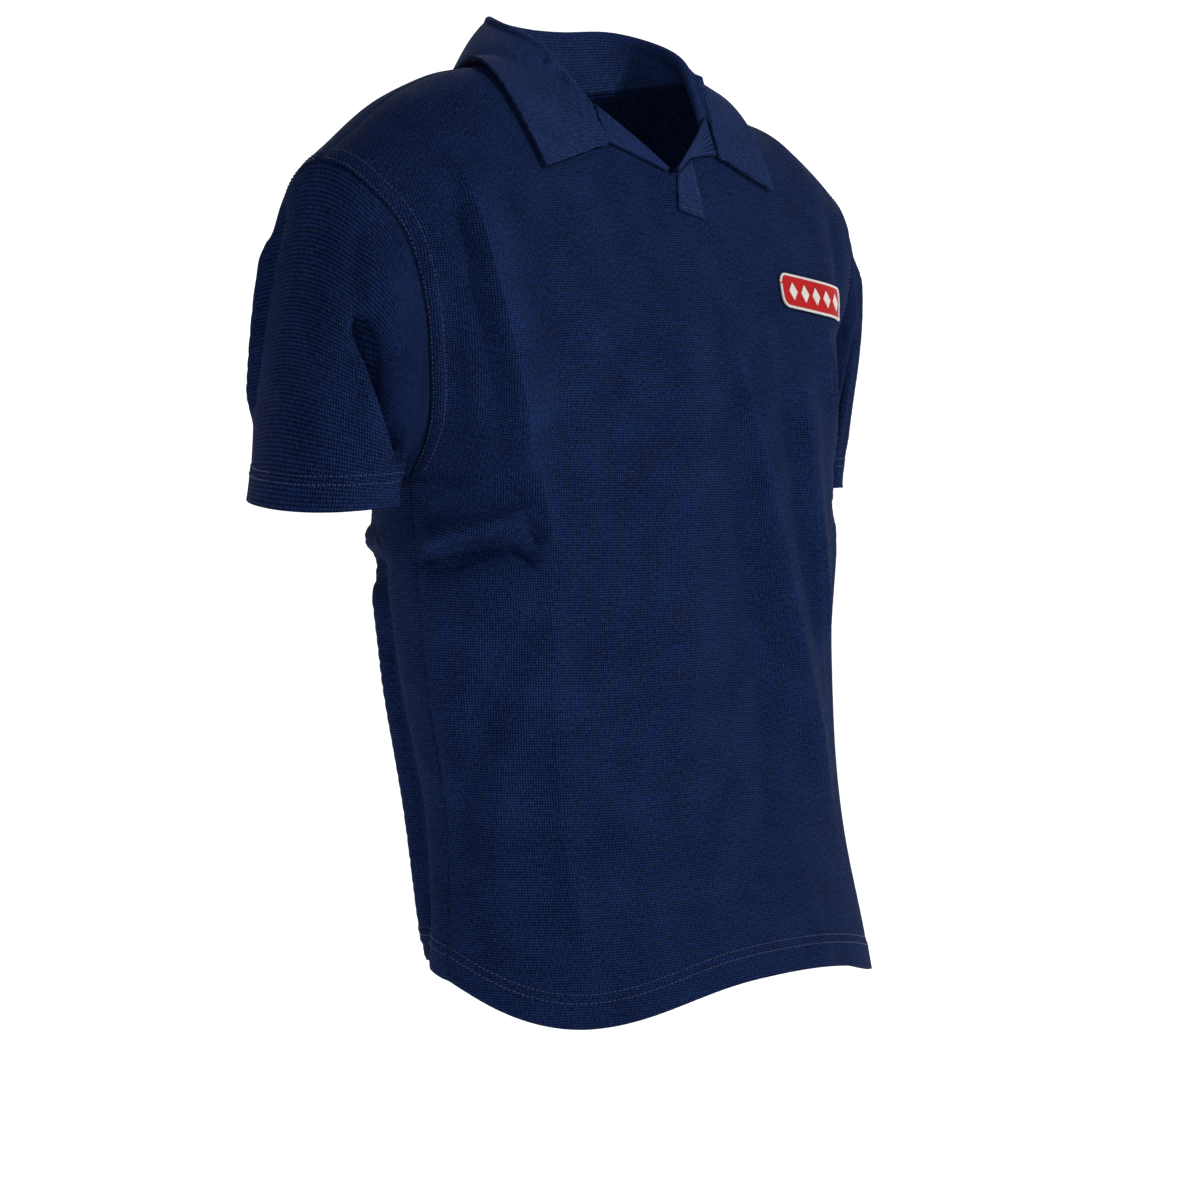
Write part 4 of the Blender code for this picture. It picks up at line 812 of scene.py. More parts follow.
def fold_sleeve(grid, name):
    p, q, held = sleeve_places(grid)
    sign = -1.0 if name == "sleeve_left" else 1.0
    height = fold_heights(p, q, FOLDS[name], FOLD_STEPS) * sign * held
    return grid + grid_normals(grid, True) * height[..., None]


# %% [markdown]
# ## Collar and front edges
# The collar's leaf is kept clear of the shoulders and of its own stand, as pressed cloth lies,
# and its roll stands just over the leaf beside it.

# %% Collar
def neckline(front, back):
    """The collar's seam on both panels, from its right front end round the nape to its left one."""
    first, second = FRONT_COUNTS[0], FRONT_COUNTS[1]
    middle = front.shape[1] // 2
    nape = back.shape[1] // 2
    round_back = BACK_COUNTS[0] + BACK_COUNTS[1]
    right = front[0, middle - first - second : middle - first + 1][::-1]
    rear = back[0, nape - round_back : nape + round_back + 1]
    left = front[0, middle + first : middle + first + second + 1]
    return np.concatenate([right[:-1], rear, left[::-1][1:]])


def collar_grid(seam, lay):
    """Rows from the neck seam up the stand, over the roll and down the leaf; columns go round."""
    along = lengths(seam)
    where = along / along[-1] * 2 - 1
    rows = []
    for place, here in zip(seam, where):
        share = 1 - abs(here)
        sign = -1.0 if here < 0 else 1.0
        side = np.array([sign, 1.0, 1.0])
        roll = np.array([column(COLLAR, "roll_" + k, share, "share") for k in "xyz"]) * side
        edge = np.array([column(COLLAR, "edge_" + k, share, "share") for k in "xyz"]) * side
        if share > NAPE_SHARE:
            roll[0] = edge[0] = 0.0
        tip = np.clip(1 - share / COLLAR_END_FADE, 0.0, 1.0)
        edge[0] -= LEAF_SWING * smoothstep((LEAF_SWING_END - share) / LEAF_SWING_EASE)
        edge[2] -= (TIP_DROP + (FAR_TIP_DROP if sign > 0 else 0.0)) * tip
        outwards = unit((edge - roll) * np.array([1.0, 1.0, 0.0]))
        up = np.array([0.0, 0.0, 1.0])
        stand_in = roll - (outwards + up * ROLL_DEPTH) * ROLL_RADIUS
        fall_out = roll + (outwards - up * ROLL_DEPTH) * ROLL_RADIUS
        notch = np.array(NOTCH) * side
        if sign > 0:
            notch[2] -= FAR_TIP_DROP * NOTCH_FOLLOWS
        bow = notch - (fall_out + (edge - fall_out) * NOTCH_SHARE)
        stand = [place + (stand_in - place) * t for t in STAND_SHARES]
        across, sunk = outwards * ROLL_RADIUS * ROLL_HALFWAY[0], up * ROLL_RADIUS * ROLL_HALFWAY[1]
        over = [roll - across - sunk, roll, roll + across - sunk]
        fall = []
        for t in np.linspace(0.0, 1.0, FALL_STEPS + 1):
            hat = min(t / NOTCH_SHARE, (1 - t) / (1 - NOTCH_SHARE))
            lift = up * LEAF_BULGE * math.sin(math.pi * t) * (1 - tip)
            fall.append(fall_out + (edge - fall_out) * t + bow * hat * tip**2 + lift)
        rows.append(np.array(stand + over + fall))
    grid = np.stack(rows, axis=1)
    laid = KNIT / 2 + LAY + COLLAR_CLOTH / 2
    leaf = grid[FALL_ROW:]
    from_shoulder = (leaf[..., 1] - ridge_y(leaf[..., 0])) / SHOULDER_REACH
    leaf = lay.keep_off(leaf, laid + LEAF_FLOAT + SHOULDER_FLOAT * np.exp(-(from_shoulder**2)))
    rise = np.maximum(leaf[0, :, 2] - grid[ROLL_ROW, :, 2] + ROLL_RISE, 0.0)
    grid[STAND_ROWS - 1 : FALL_ROW, :, 2] += rise
    stand = between(between(grid[:STAND_ROWS], 5).transpose(1, 0, 2), 4).reshape(-1, 3)
    for place in np.ndindex(leaf.shape[:2]):
        away = leaf[place] - stand
        far = np.linalg.norm(away, axis=1)
        nearest = far.argmin()
        push = max(COLLAR_CLOTH + STAND_CLEAR - far[nearest], 0.0)
        leaf[place] += unit(away[nearest]) * push
    grid[FALL_ROW:] = leaf
    return grid


# %% Revers, placket and patch
def rever_grid(side, lay):
    """Rows from the rever's fold out to its free edge; columns down the fold."""
    across, steps = (np.linspace(0.0, 1.0, count) for count in REVER_GRID)
    sign = -1.0 if side == "right" else 1.0
    fold = [np.interp(steps, REVER["share"], REVER["fold_" + k]) for k in "xz"]
    edge = [np.interp(steps, REVER["share"], REVER[side + "_" + k]) for k in "xz"]
    x = fold[0][None] + (edge[0] - fold[0])[None] * across[:, None]
    z = fold[1][None] + (edge[1] - fold[1])[None] * across[:, None]
    rolled = REVER_ROLL * (1 - across[:, None]) ** 2 * np.ones_like(x)
    return lay.on_front(sign * x, z, KNIT + LAY + REVER_FLOAT + rolled)[0]


def placket_grid(lay):
    """Rows down the strip between its two long edges."""
    down, across = (np.linspace(0.0, 1.0, count) for count in PLACKET_GRID)
    right = [np.interp(down, PLACKET["share"], PLACKET["right_" + k])[:, None] for k in "xz"]
    left = [np.interp(down, PLACKET["share"], PLACKET["left_" + k])[:, None] for k in "xz"]
    x, z = (near + (far - near) * across for near, far in zip(right, left))
    return lay.on_front(x, z, np.full(x.shape, KNIT + LAY))[0]


def patch_grid(lay):
    """A rounded rectangle: columns along it, each as tall as the outline is there."""
    length, height = PATCH_SIZE
    radius = height * PATCH_CORNER
    rows, columns = PATCH_GRID
    along = np.linspace(-1.0, 1.0, columns)
    x = np.sin(along * math.pi / 2) * length / 2
    inset = np.clip(np.abs(x) - (length / 2 - radius), 0.0, radius)
    tall = height / 2 - radius + np.sqrt(np.maximum(radius**2 - inset**2, 0.0))
    v = np.linspace(1.0, -1.0, rows)
    local_x = np.repeat(x[None], rows, axis=0)
    local_z = v[:, None] * tall[None]
    tilt = math.radians(PATCH_TILT)
    xs = PATCH_CENTRE[0] + local_x * math.cos(tilt) - local_z * math.sin(tilt)
    zs = PATCH_CENTRE[1] + local_x * math.sin(tilt) + local_z * math.cos(tilt)
    return lay.on_front(xs, zs, np.full(xs.shape, KNIT / 2 + PATCH_CLOTH / 2 + LAY))[0]


# %% [markdown]
# ## The worn grids of the body
# Each panel is worked out four times finer across than its solid and seven times finer down, and
# both sets of folds move its points along their own normals. The sewn edges stay where the solids
# have them, so nothing gapes.

# %% Front and back
front_grid = crease(panel("front", FRONT_COUNTS), "front", False)
back_grid = crease(panel("back", BACK_COUNTS), "back", False)
lay = Lay(front_grid, back_grid[:, ::-1])
print("front points:", front_grid.shape[:2], "back points:", back_grid.shape[:2])

# %% [markdown]
# ## Sleeves, collar, revers, placket and patch
# The sleeves start from the very points of the armhole, so the seam closes all round. The collar
# is one band: seam, stand, roll and leaf. What lies on the chest takes its height from the
# chest's own points, moved out by the cloth's thickness.

# %% Sleeves and collar
def smoother(grid, steps):
    """The same grid with more rows, on smooth curves down it."""
    finer = []
    for c in range(grid.shape[1]):
        along = lengths(grid[:, c])
        at = between(along[:, None], steps)[:, 0]
        finer.append(spline(along, grid[:, c], at))
    return np.stack(finer, axis=1)


grids = {"front": front_grid, "back": back_grid[:, ::-1]}
for side, spec in SLEEVE.items():
    ring, under = armhole_ring(front_grid, back_grid, spec["sign"], FRONT_COUNTS[3], BACK_COUNTS[3])
    name = "sleeve_" + side
    tube = crease(fold_sleeve(sleeve_grid(ring, under, spec), name), name, True)
    grids[name] = tube[:, ::-1] if spec["sign"] > 0 else tube
grids["collar"] = smoother(collar_grid(neckline(front_grid, back_grid), lay), COLLAR_FINER)
for side in ("right", "left"):
    grids["rever_" + side] = rever_grid(side, lay)
grids["placket"] = placket_grid(lay)
grids["patch"] = patch_grid(lay)
print({name: grid.shape[:2] for name, grid in grids.items()})

# %% [markdown]
# ## Turned hems and sewn edges
# A hem is the knit turned up and cover-stitched, so below its stitching the cloth is twice as
# thick and stands a little proud. At a sewn edge the cloth dives towards the seam. Both are
# shifts of the outer face alone, by the distance from an edge, which is cheaper than modelling
# the turned layer.

# %% Distances from the edges
HEM_DEPTH = 0.0235       # from the hem's edge up to its upper row of stitches
SLEEVE_HEM_DEPTH = 0.0240
COVER_ROWS = 0.0060      # between the two rows of a cover stitch
HEM_PROUD = 0.0007       # how far the turned layer stands out
STEP = 0.0012            # how wide the step is where it ends
STITCH_SINK = 0.0004     # how far the stitches pull the cloth in, this near to their row
STITCH_REACH = 0.0016
STITCH_BELOW = 0.0002    # and how far below the layer's end that is
SEAM_DIP = 0.0009        # how far the cloth dives at a sewn edge, this near to it
SEAM_DIP_REACH = 0.0045
ARMHOLE_BAND = 0.0120    # how far the seam's own edges are folded into the body and stitched down
ARMHOLE_PROUD = 0.0005


def from_rows(grid, row):
    """Distance down the cloth between each point and one row of its grid."""
    steps = np.linalg.norm(np.diff(grid, axis=0), axis=2)
    down = np.concatenate([np.zeros((1, grid.shape[1])), np.cumsum(steps, axis=0)])
    return np.abs(down - down[row])


def proud(grid, hem_depth, is_panel):
    """How far the outer face stands out because of hems, and dips because of seams."""
    edge = hem_depth - from_rows(grid, -1)
    lift = HEM_PROUD * smoothstep((edge + STEP / 2) / STEP)
    lift -= STITCH_SINK * np.exp(-(((edge + STITCH_BELOW) / STITCH_REACH) ** 2))
    if is_panel:
        side = from_sides(across_places(grid, grid.shape[1] // 2))
        beside_armhole = np.arange(grid.shape[0])[:, None] < FRONT_COUNTS[3]
        lift += ARMHOLE_PROUD * (smoothstep((ARMHOLE_BAND - side) / STEP) * beside_armhole)
        lift -= SEAM_DIP * np.exp(-((side / SEAM_DIP_REACH) ** 2))
    return lift - SEAM_DIP * np.exp(-((from_rows(grid, 0) / SEAM_DIP_REACH) ** 2))


outer_lift = {name: np.zeros(grid.shape[:2]) for name, grid in grids.items()}
for name in ("front", "back"):
    outer_lift[name] = proud(grids[name], HEM_DEPTH, True)
for name in ("sleeve_right", "sleeve_left"):
    outer_lift[name] = proud(grids[name], SLEEVE_HEM_DEPTH, False)
print("hem stands out by mm:", round(1000 * float(outer_lift["front"].max()), 2))

# %% [markdown]
# ## Walls
# Each grid becomes a closed wall: an outer and an inner sheet with a rim round them. Solidify
# would do that too, but here neighbouring pieces share one direction through their walls at each
# seam, so their rims lie side by side. The UV map is in metres along the cloth, which lets a
# material draw the knit at its real size whatever the fold does.

# %% Walls
SAME_SEAM_PLACE = 2e-5   # points of two pieces this near each other are sewn together
SEAM_SHARE = 0.6         # each side's share of the gap, a little over half


class Cloth:
    """A grid of points in the middle of a wall, with the sides that are sewn to another piece."""

    def __init__(self, name, grid, wraps=False, sewn=(), thickness=KNIT):
        self.name = name
        self.grid = grid
        self.wraps = wraps
        self.sewn = sewn
        self.thickness = thickness
        self.through = grid_normals(grid, wraps)

    def sides(self):
        last_row, last_column = self.grid.shape[0] - 1, self.grid.shape[1] - 1
        return {
            "top": (0, slice(None), 1, slice(None)),
            "bottom": (last_row, slice(None), last_row - 1, slice(None)),
            "right": (slice(None), 0, slice(None), 1),
            "left": (slice(None), last_column, slice(None), last_column - 1),
        }


def side_mask(cloth, side):
    mask = np.zeros(cloth.grid.shape[:2], dtype=bool)
    row, col, _, _ = cloth.sides()[side]
    mask[row, col] = True
    return mask


def share_seam_directions(cloths):
    """Gives points that are sewn together one direction through the wall, so rims lie flush."""
    found = {}
    for cloth in cloths:
        for side in cloth.sewn:
            row, col, _, _ = cloth.sides()[side]
            for place, index in zip(cloth.grid[row, col], np.argwhere(side_mask(cloth, side))):
                key = tuple(np.round(place / SAME_SEAM_PLACE).astype(int))
                found.setdefault(key, []).append((cloth, tuple(index)))
    for meeting in found.values():
        own = {(cloth.name, index): (cloth, index) for cloth, index in meeting}
        walls = {}
        for cloth, index in own.values():
            wall = "body" if cloth.name in ("front", "back") else cloth.name
            walls[wall] = walls.get(wall, np.zeros(3)) + cloth.through[index]
        walls = {wall: unit(total) for wall, total in walls.items()}
        common = unit(sum(walls.values()))
        lean = float(np.clip(min(total @ common for total in walls.values()), LEAST_LEAN, 1.0))
        for cloth, index in own.values():
            cloth.through[index] = common / lean


def open_seams(cloth):
    """Draws each sewn side back by its share of the seam's gap, and further at a corner."""
    moved = cloth.grid.copy()
    for side in cloth.sewn:
        row, col, next_row, next_col = cloth.sides()[side]
        inward = cloth.grid[next_row, next_col] - cloth.grid[row, col]
        through = unit(cloth.through[row, col])
        inward = unit(inward - (inward * through).sum(-1, keepdims=True) * through)
        corner = BENT_SEAM if cloth.name not in ("front", "back") else 0.0
        moved[row, col] += inward * (SEAM_GAP * SEAM_SHARE + corner)
    cloth.grid = moved


def wall_faces(rows, cols, wraps):
    """The faces of a closed wall on two sheets of rows by cols points, the outer sheet first."""
    outer = np.arange(rows * cols).reshape(rows, cols)
    inner = outer + rows * cols
    faces = []
    for r in range(rows - 1):
        for c in range(cols if wraps else cols - 1):
            n = (c + 1) % cols
            faces.append((outer[r, c], outer[r + 1, c], outer[r + 1, n], outer[r, n]))
            faces.append((inner[r, c], inner[r, n], inner[r + 1, n], inner[r + 1, c]))
    for c in range(cols if wraps else cols - 1):
        n = (c + 1) % cols
        faces.append((outer[0, c], outer[0, n], inner[0, n], inner[0, c]))
        faces.append((outer[-1, n], outer[-1, c], inner[-1, c], inner[-1, n]))
    if not wraps:
        for r in range(rows - 1):
            faces.append((outer[r + 1, 0], outer[r, 0], inner[r, 0], inner[r + 1, 0]))
            faces.append((outer[r, -1], outer[r + 1, -1], inner[r + 1, -1], inner[r, -1]))
    return [tuple(int(i) for i in face) for face in faces]


# %% Cloth with a map in metres
def cloth_map(grid, wraps):
    """Metres across and down the cloth at each point. Down the body, the courses lie level."""
    whole = np.concatenate([grid, grid[:, :1]], axis=1) if wraps else grid
    if len(grid) > FRONT_COUNTS[-1]:
        middle = whole.shape[1] // 2
        across = np.cumsum(np.hypot(*np.diff(whole[..., :2], axis=1).transpose(2, 0, 1)), axis=1)
        across = np.concatenate([np.zeros((len(grid), 1)), across], axis=1)
        climb = np.hypot(*np.diff(whole[..., 1:], axis=0).transpose(2, 0, 1))[::-1]
        down = np.concatenate([np.zeros((1, whole.shape[1])), np.cumsum(climb, axis=0)])[::-1]
        return np.stack([across - across[:, middle : middle + 1], down + whole[-1:, :, 2]], axis=2)
    across = across_places(whole, 0 if wraps else whole.shape[1] // 2)
    steps = np.linalg.norm(np.diff(whole, axis=0), axis=2).mean(axis=1)
    down = np.concatenate([[0.0], np.cumsum(steps)])
    return np.stack([across, np.repeat(-down[:, None], whole.shape[1], axis=1)], axis=2)


def body_map(grid):
    """Metres across from the middle and height in metres, as in the tables of folds."""
    return np.stack([across_places(grid, grid.shape[1] // 2), grid[..., 2]], axis=2)


def new_object(name, points, faces, finish):
    """A mesh object in the scene, of one finish."""
    mesh = bpy.data.meshes.new(name)
    mesh.from_pydata([tuple(point) for point in points], [], faces)
    mesh.materials.append(finish)
    made = bpy.data.objects.new(name, mesh)
    bpy.context.scene.collection.objects.link(made)
    return made


def make_cloth(cloth, lift, finish):
    """The piece as a mesh object, with its two maps in metres."""
    outer = cloth.grid + cloth.through * (cloth.thickness / 2 + lift)[..., None]
    inner = cloth.grid - cloth.through * cloth.thickness / 2
    rows, cols = cloth.grid.shape[:2]
    points = np.concatenate([outer.reshape(-1, 3), inner.reshape(-1, 3)])
    faces = wall_faces(rows, cols, cloth.wraps)
    made = new_object(cloth.name + "_cloth", points, faces, finish)
    flat = np.array([index for face in faces for index in face]) % (rows * cols)
    row, col = flat // cols, flat % cols
    last = np.repeat(col.reshape(-1, 4).max(1) == cols - 1, 4)
    maps = {"knit": cloth_map(cloth.grid, cloth.wraps), "places": body_map(cloth.grid)}
    for name, where in maps.items():
        layer = made.data.uv_layers.new(name=name)
        width = where.shape[1]
        closing = np.where(last & (col == 0) & (width > cols), width - 1, col)
        layer.data.foreach_set("uv", where[row, closing].astype(np.float32).ravel())
    made.data.shade_smooth()
    return made


# %% [markdown]
# ## Materials
# The body is cotton pique in a small waffle: raised cross ribs with pits between them, matt, and
# with the soft sheen of short fibres. A procedural material is the honest way to make it: the
# pits come from two waves across the metre map, and noise gives the yarn its flecks and the cloth
# its faded patches.

# %% A colour and a node
def linear(hex_colour):
    """An sRGB hex colour as linear red, green, blue and alpha."""
    parts = [int(hex_colour[i : i + 2], 16) / 255 for i in (1, 3, 5)]
    light = (c / 12.92 if c <= 0.04045 else ((c + 0.055) / 1.055) ** 2.4 for c in parts)
    return (*light, 1.0)


def node(material, kind, settings=None, **inputs):
    """Adds a node with its settings; an input is a value, or a socket to link."""
    made = material.node_tree.nodes.new(kind)
    for name, value in (settings or {}).items():
        setattr(made, name, value)
    for name, value in inputs.items():
        socket = made.inputs[int(name[1:]) if name[1:].isdigit() else name.replace("_", " ")]
        if isinstance(value, bpy.types.NodeSocket):
            material.node_tree.links.new(value, socket)
        else:
            socket.default_value = value
    return made


def new_material(name, **sockets):
    """A material and its shader, with values on the shader's own sockets."""
    made = bpy.data.materials.new(name)
    made.use_nodes = True
    shader = made.node_tree.nodes["Principled BSDF"]
    for socket, value in sockets.items():
        shader.inputs[socket.replace("_", " ")].default_value = value
    return made, shader


print("navy yarn, linear:", [round(c, 4) for c in linear("#1b2648")])

# %% [markdown]
# ### Waffle pique
# The stitches of the real cloth repeat about every 1.9 mm, in straight rows and columns of little
# pits, and the waffle is drawn at very nearly that. Cotton's IOR is about 1.5, and its roughness
# is high because light goes into the fibres before it comes back. Dyed yarn is never one flat
# colour, so single yarns are a shade up or down, and a washed garment is a little mottled.

# %% [markdown]
# ### Pressed creases
# The sharpest creases are narrower than the mesh is fine, so they are bumps on a map of the
# body's places: each is a straight line with a steep, crisp ridge or valley on it, which fades
# towards both of its ends. The cloth round them is already folded, and these give the folds
# their edges. Their heights also tint the knit: lighter on a crest as painted light, and darker
# in a valley as painted shade.

# %% Pressed creases
CRISP_FADE = 6.0         # how soon a crease is whole: over about a fifth of its length at each end
CRISP = {
    "front": table(
        "p0      z0      p1      z1      height   less    more",
        (-0.237, -0.074, -0.166, -0.316, 0.0028, 0.0030, 0.0110),  # chest
        (-0.262, -0.358, -0.184, -0.343, -0.0022, 0.0045, 0.0022),  # the pucker's deep valley
        (-0.262, -0.333, -0.160, -0.312, -0.0010, 0.0030, 0.0030),
        (-0.190, -0.341, -0.170, -0.360, -0.0018, 0.0022, 0.0030),
        (-0.184, -0.318, -0.160, -0.342, -0.0014, 0.0025, 0.0025),
        (-0.168, -0.286, -0.158, -0.350, 0.0014, 0.0022, 0.0035),
        (-0.168, -0.362, -0.250, -0.552, 0.0016, 0.0080, 0.0035),  # to side
        (-0.162, -0.345, -0.157, -0.660, 0.0010, 0.0025, 0.0060),  # pressed
        (-0.146, -0.590, -0.131, -0.655, 0.0006, 0.0025, 0.0040),
        (-0.068, -0.214, -0.048, -0.270, 0.0005, 0.0022, 0.0040),
        (0.014, -0.176, 0.140, -0.590, 0.0017, 0.0080, 0.0035),  # drape
        (0.098, -0.205, 0.158, -0.520, 0.0022, 0.0070, 0.0030),
        (0.147, -0.180, 0.159, -0.272, 0.0020, 0.0050, 0.0030),
    ),
    "back": table(
        "p0      z0      p1      z1      height   less    more",
        (-0.250, -0.364, -0.136, -0.360, -0.0016, 0.0040, 0.0030),
        (0.250, -0.362, 0.142, -0.378, -0.0014, 0.0040, 0.0030),
        (-0.206, -0.380, -0.194, -0.655, -0.0014, 0.0060, 0.0035),
        (0.206, -0.380, 0.196, -0.655, -0.0012, 0.0035, 0.0060),
        (-0.124, -0.170, -0.084, -0.526, 0.0012, 0.0035, 0.0080),
        (0.116, -0.178, 0.086, -0.546, 0.0012, 0.0080, 0.0035),
    ),
}


def crisp_height(made, place, rows):
    """Adds up the crisp creases of one piece at each place on its map."""
    total = None
    for p0, z0, p1, z1, height, less, more in zip(*rows.values()):
        length = math.hypot(p1 - p0, z1 - z0)
        turn = math.atan2(z1 - z0, p1 - p0)
        local = node(
            made, "ShaderNodeMapping", {"vector_type": "TEXTURE"},
            Vector=place, Location=(p0, z0, 0.0), Rotation=(0.0, 0.0, turn),
        )
        axes = node(made, "ShaderNodeSeparateXYZ", None, _0=local.outputs[0])
        found = {"x": axes.outputs["X"], "y": axes.outputs["Y"]}
        for result, operation, first, second in (
            ("along", "MULTIPLY", "x", 1.0 / length),       # from 0 at its start to 1 at its end
            ("left", "SUBTRACT", 1.0, "along"),
            ("middle", "MULTIPLY", "along", "left"),
            ("fade", "MULTIPLY", "middle", CRISP_FADE),      # 1, and 0 at both ends
            ("above", "MAXIMUM", "y", 0.0),
            ("one side", "MULTIPLY", "above", 1.0 / more),
            ("below", "MINIMUM", "y", 0.0),
            ("other side", "MULTIPLY", "below", 1.0 / less),
            ("away", "SUBTRACT", "other side", "one side"),  # 0 on the line, less beside it
            ("edge", "EXPONENT", "away", 0.0),
            ("crest", "MULTIPLY", "edge", height),
            ("faded crest", "MULTIPLY", "crest", "fade"),
        ):
            settings = {"operation": operation, "use_clamp": result in ("along", "fade")}
            values = {"_0": found.get(first, first), "_1": found.get(second, second)}
            found[result] = node(made, "ShaderNodeMath", settings, **values).outputs[0]
        crest = found["faded crest"]
        if total is not None:
            crest = node(made, "ShaderNodeMath", {"operation": "ADD"}, _0=total, _1=crest)
            crest = crest.outputs[0]
        total = crest
    return total


# %% [markdown]
# ### The knit's material
# It is made once for each kind of cloth, with the creases of the piece that it is for.

# %% Waffle pique
WALE_PITCH, COURSE_PITCH, COLLAR_PITCH = 0.00185, 0.00180, 0.00170
# the ramp's dark end is painted shade in pits and crease valleys as well as darker yarn, and its
# light end is painted light on rib tops and crease crests as well as paler yarn
PIT_NAVY, YARN_NAVY, TOP_NAVY = "#08112b", "#122247", "#213567"
# How far each thing moves the shade, which goes from 0 for a pit to 1 for the top of a rib; the
# waffle's part of it is painted shade in the pits and painted light on the rib tops.
WAFFLE_PAINTED_SHADING = 0.27
FLECK_SHADE, CLOUD_SHADE = 1.3, 0.5
CREASE_PAINTED_LIGHT_AND_SHADE = 90.0       # painted light on a crease's crest and painted shade in its valley, for each metre that it stands out or dips
FLECK_SCALE, CLOUD_SCALE = 700.0, 28.0   # yarns of about 1.5 mm, and patches of about 35 mm
YARN_STRETCH = (1.0, 0.5, 1.0)           # yarns show twice as long down the cloth as across it
FUZZ = 0.8               # how much of the relief the yarns are, beside the waffle
WAFFLE_DEEP = 0.0004


def knit_material(name, pitches, colours, relief, creases=None):
    """Pique in a waffle of these pitches and colours, and with the pressed creases of its piece."""
    made, shader = new_material(
        name, Roughness=0.85, IOR=1.5, Specular_IOR_Level=0.04, Sheen_Weight=0.02,
        Sheen_Roughness=0.4, Sheen_Tint=linear("#7d93d6"),
    )
    place = node(made, "ShaderNodeUVMap", {"uv_map": "knit"}).outputs["UV"]
    per_metre = tuple(2 * math.pi / pitch for pitch in pitches) + (1.0,)
    turns = node(made, "ShaderNodeVectorMath", {"operation": "MULTIPLY"}, _0=place, _1=per_metre)
    axes = node(made, "ShaderNodeSeparateXYZ", _0=turns.outputs[0])
    wale, course = (
        node(made, "ShaderNodeMath", {"operation": "COSINE"}, _0=axes.outputs[axis]).outputs[0]
        for axis in "XY"
    )
    waffle = node(made, "ShaderNodeMath", {"operation": "ADD"}, _0=wale, _1=course).outputs[0]
    multiply = {"operation": "MULTIPLY"}
    stretched = node(made, "ShaderNodeVectorMath", multiply, _0=place, _1=YARN_STRETCH)
    yarns = node(
        made, "ShaderNodeTexNoise", None, Vector=stretched.outputs[0], Scale=FLECK_SCALE, Detail=1.0
    ).outputs["Fac"]
    cloud = node(
        made, "ShaderNodeTexNoise", None, Vector=place, Scale=CLOUD_SCALE, Detail=3.0
    ).outputs["Fac"]
    changes = [(waffle, WAFFLE_PAINTED_SHADING), (yarns, FLECK_SHADE), (cloud, CLOUD_SHADE)]
    if creases is not None:
        body = node(made, "ShaderNodeUVMap", {"uv_map": "places"}).outputs["UV"]
        crests = crisp_height(made, body, creases)
        changes.append((crests, CREASE_PAINTED_LIGHT_AND_SHADE))   # crests are painted lighter and valleys darker: painted light and painted shade
    # both noises are a half on average, so half of what they add is taken off again
    shade = 0.5 - FLECK_SHADE / 2 - CLOUD_SHADE / 2
    for thing, share in changes:
        shade = node(
            made, "ShaderNodeMath", {"operation": "MULTIPLY_ADD"}, _0=thing, _1=share, _2=shade
        ).outputs[0]
    ramp = node(made, "ShaderNodeValToRGB", None, _0=shade)
    ramp.color_ramp.elements.new(0.5)
    for stop, position, colour in zip(ramp.color_ramp.elements, (0.15, 0.5, 0.90), colours):
        stop.position, stop.color = position, linear(colour)
    made.node_tree.links.new(ramp.outputs["Color"], shader.inputs["Base Color"])
    relief_height = node(
        made, "ShaderNodeMath", {"operation": "MULTIPLY_ADD"}, _0=yarns, _1=FUZZ, _2=waffle
    ).outputs[0]
    bump = node(
        made, "ShaderNodeBump", None, Strength=relief, Distance=WAFFLE_DEEP, Height=relief_height
    )
    if creases is not None:
        pressed = node(made, "ShaderNodeBump", None, Strength=1.0, Distance=1.0, Height=crests)
        made.node_tree.links.new(pressed.outputs["Normal"], bump.inputs["Normal"])
    made.node_tree.links.new(bump.outputs["Normal"], shader.inputs["Normal"])
    return made


PIQUE = ((WALE_PITCH, COURSE_PITCH), (PIT_NAVY, YARN_NAVY, TOP_NAVY), 0.5)
pique = knit_material("cotton_pique_waffle_knit", *PIQUE)
pique_front = knit_material("cotton_pique_creased_front", *PIQUE, CRISP["front"])
pique_back = knit_material("cotton_pique_creased_back", *PIQUE, CRISP["back"])
# the collar's ramp works the same way: painted shade in the pits and painted light on the rib tops
collar_knit = knit_material(
    "cotton_pique_pressed_double", (COLLAR_PITCH, COLLAR_PITCH),
    ("#101a38", "#1b2c55", "#2c3f72"), 0.3
)
print("materials:", pique.name, collar_knit.name)

# %% [markdown]
# ### Sewing thread, twill and merrowing
# Stitches are polyester thread: smooth, so they glint pale blue on a navy shirt. The chest patch
# is a red twill field, with diagonal ribs half a millimetre apart that are drawn at 1.5 mm, and an
# off-white over-edge stitch round it. Its motif is a plain row of lozenges.

# %% Thread and patch materials
def plain_thread(name, dark, light):
    """Twisted polyester sewing thread."""
    made, shader = new_material(name, Roughness=0.55, Sheen_Weight=0.1)
    spot = node(made, "ShaderNodeTexCoord").outputs["Object"]
    twist = node(made, "ShaderNodeTexNoise", None, Vector=spot, Scale=900.0, Detail=2.0)
    ramp = node(made, "ShaderNodeValToRGB", None, _0=twist.outputs["Fac"])
    for stop, position, colour in zip(ramp.color_ramp.elements, (0.35, 0.70), (dark, light)):
        stop.position, stop.color = position, linear(colour)
    made.node_tree.links.new(ramp.outputs["Color"], shader.inputs["Base Color"])
    height = twist.outputs["Fac"]
    bump = node(made, "ShaderNodeBump", None, Strength=0.4, Distance=0.0002, Height=height)
    made.node_tree.links.new(bump.outputs["Normal"], shader.inputs["Normal"])
    return made


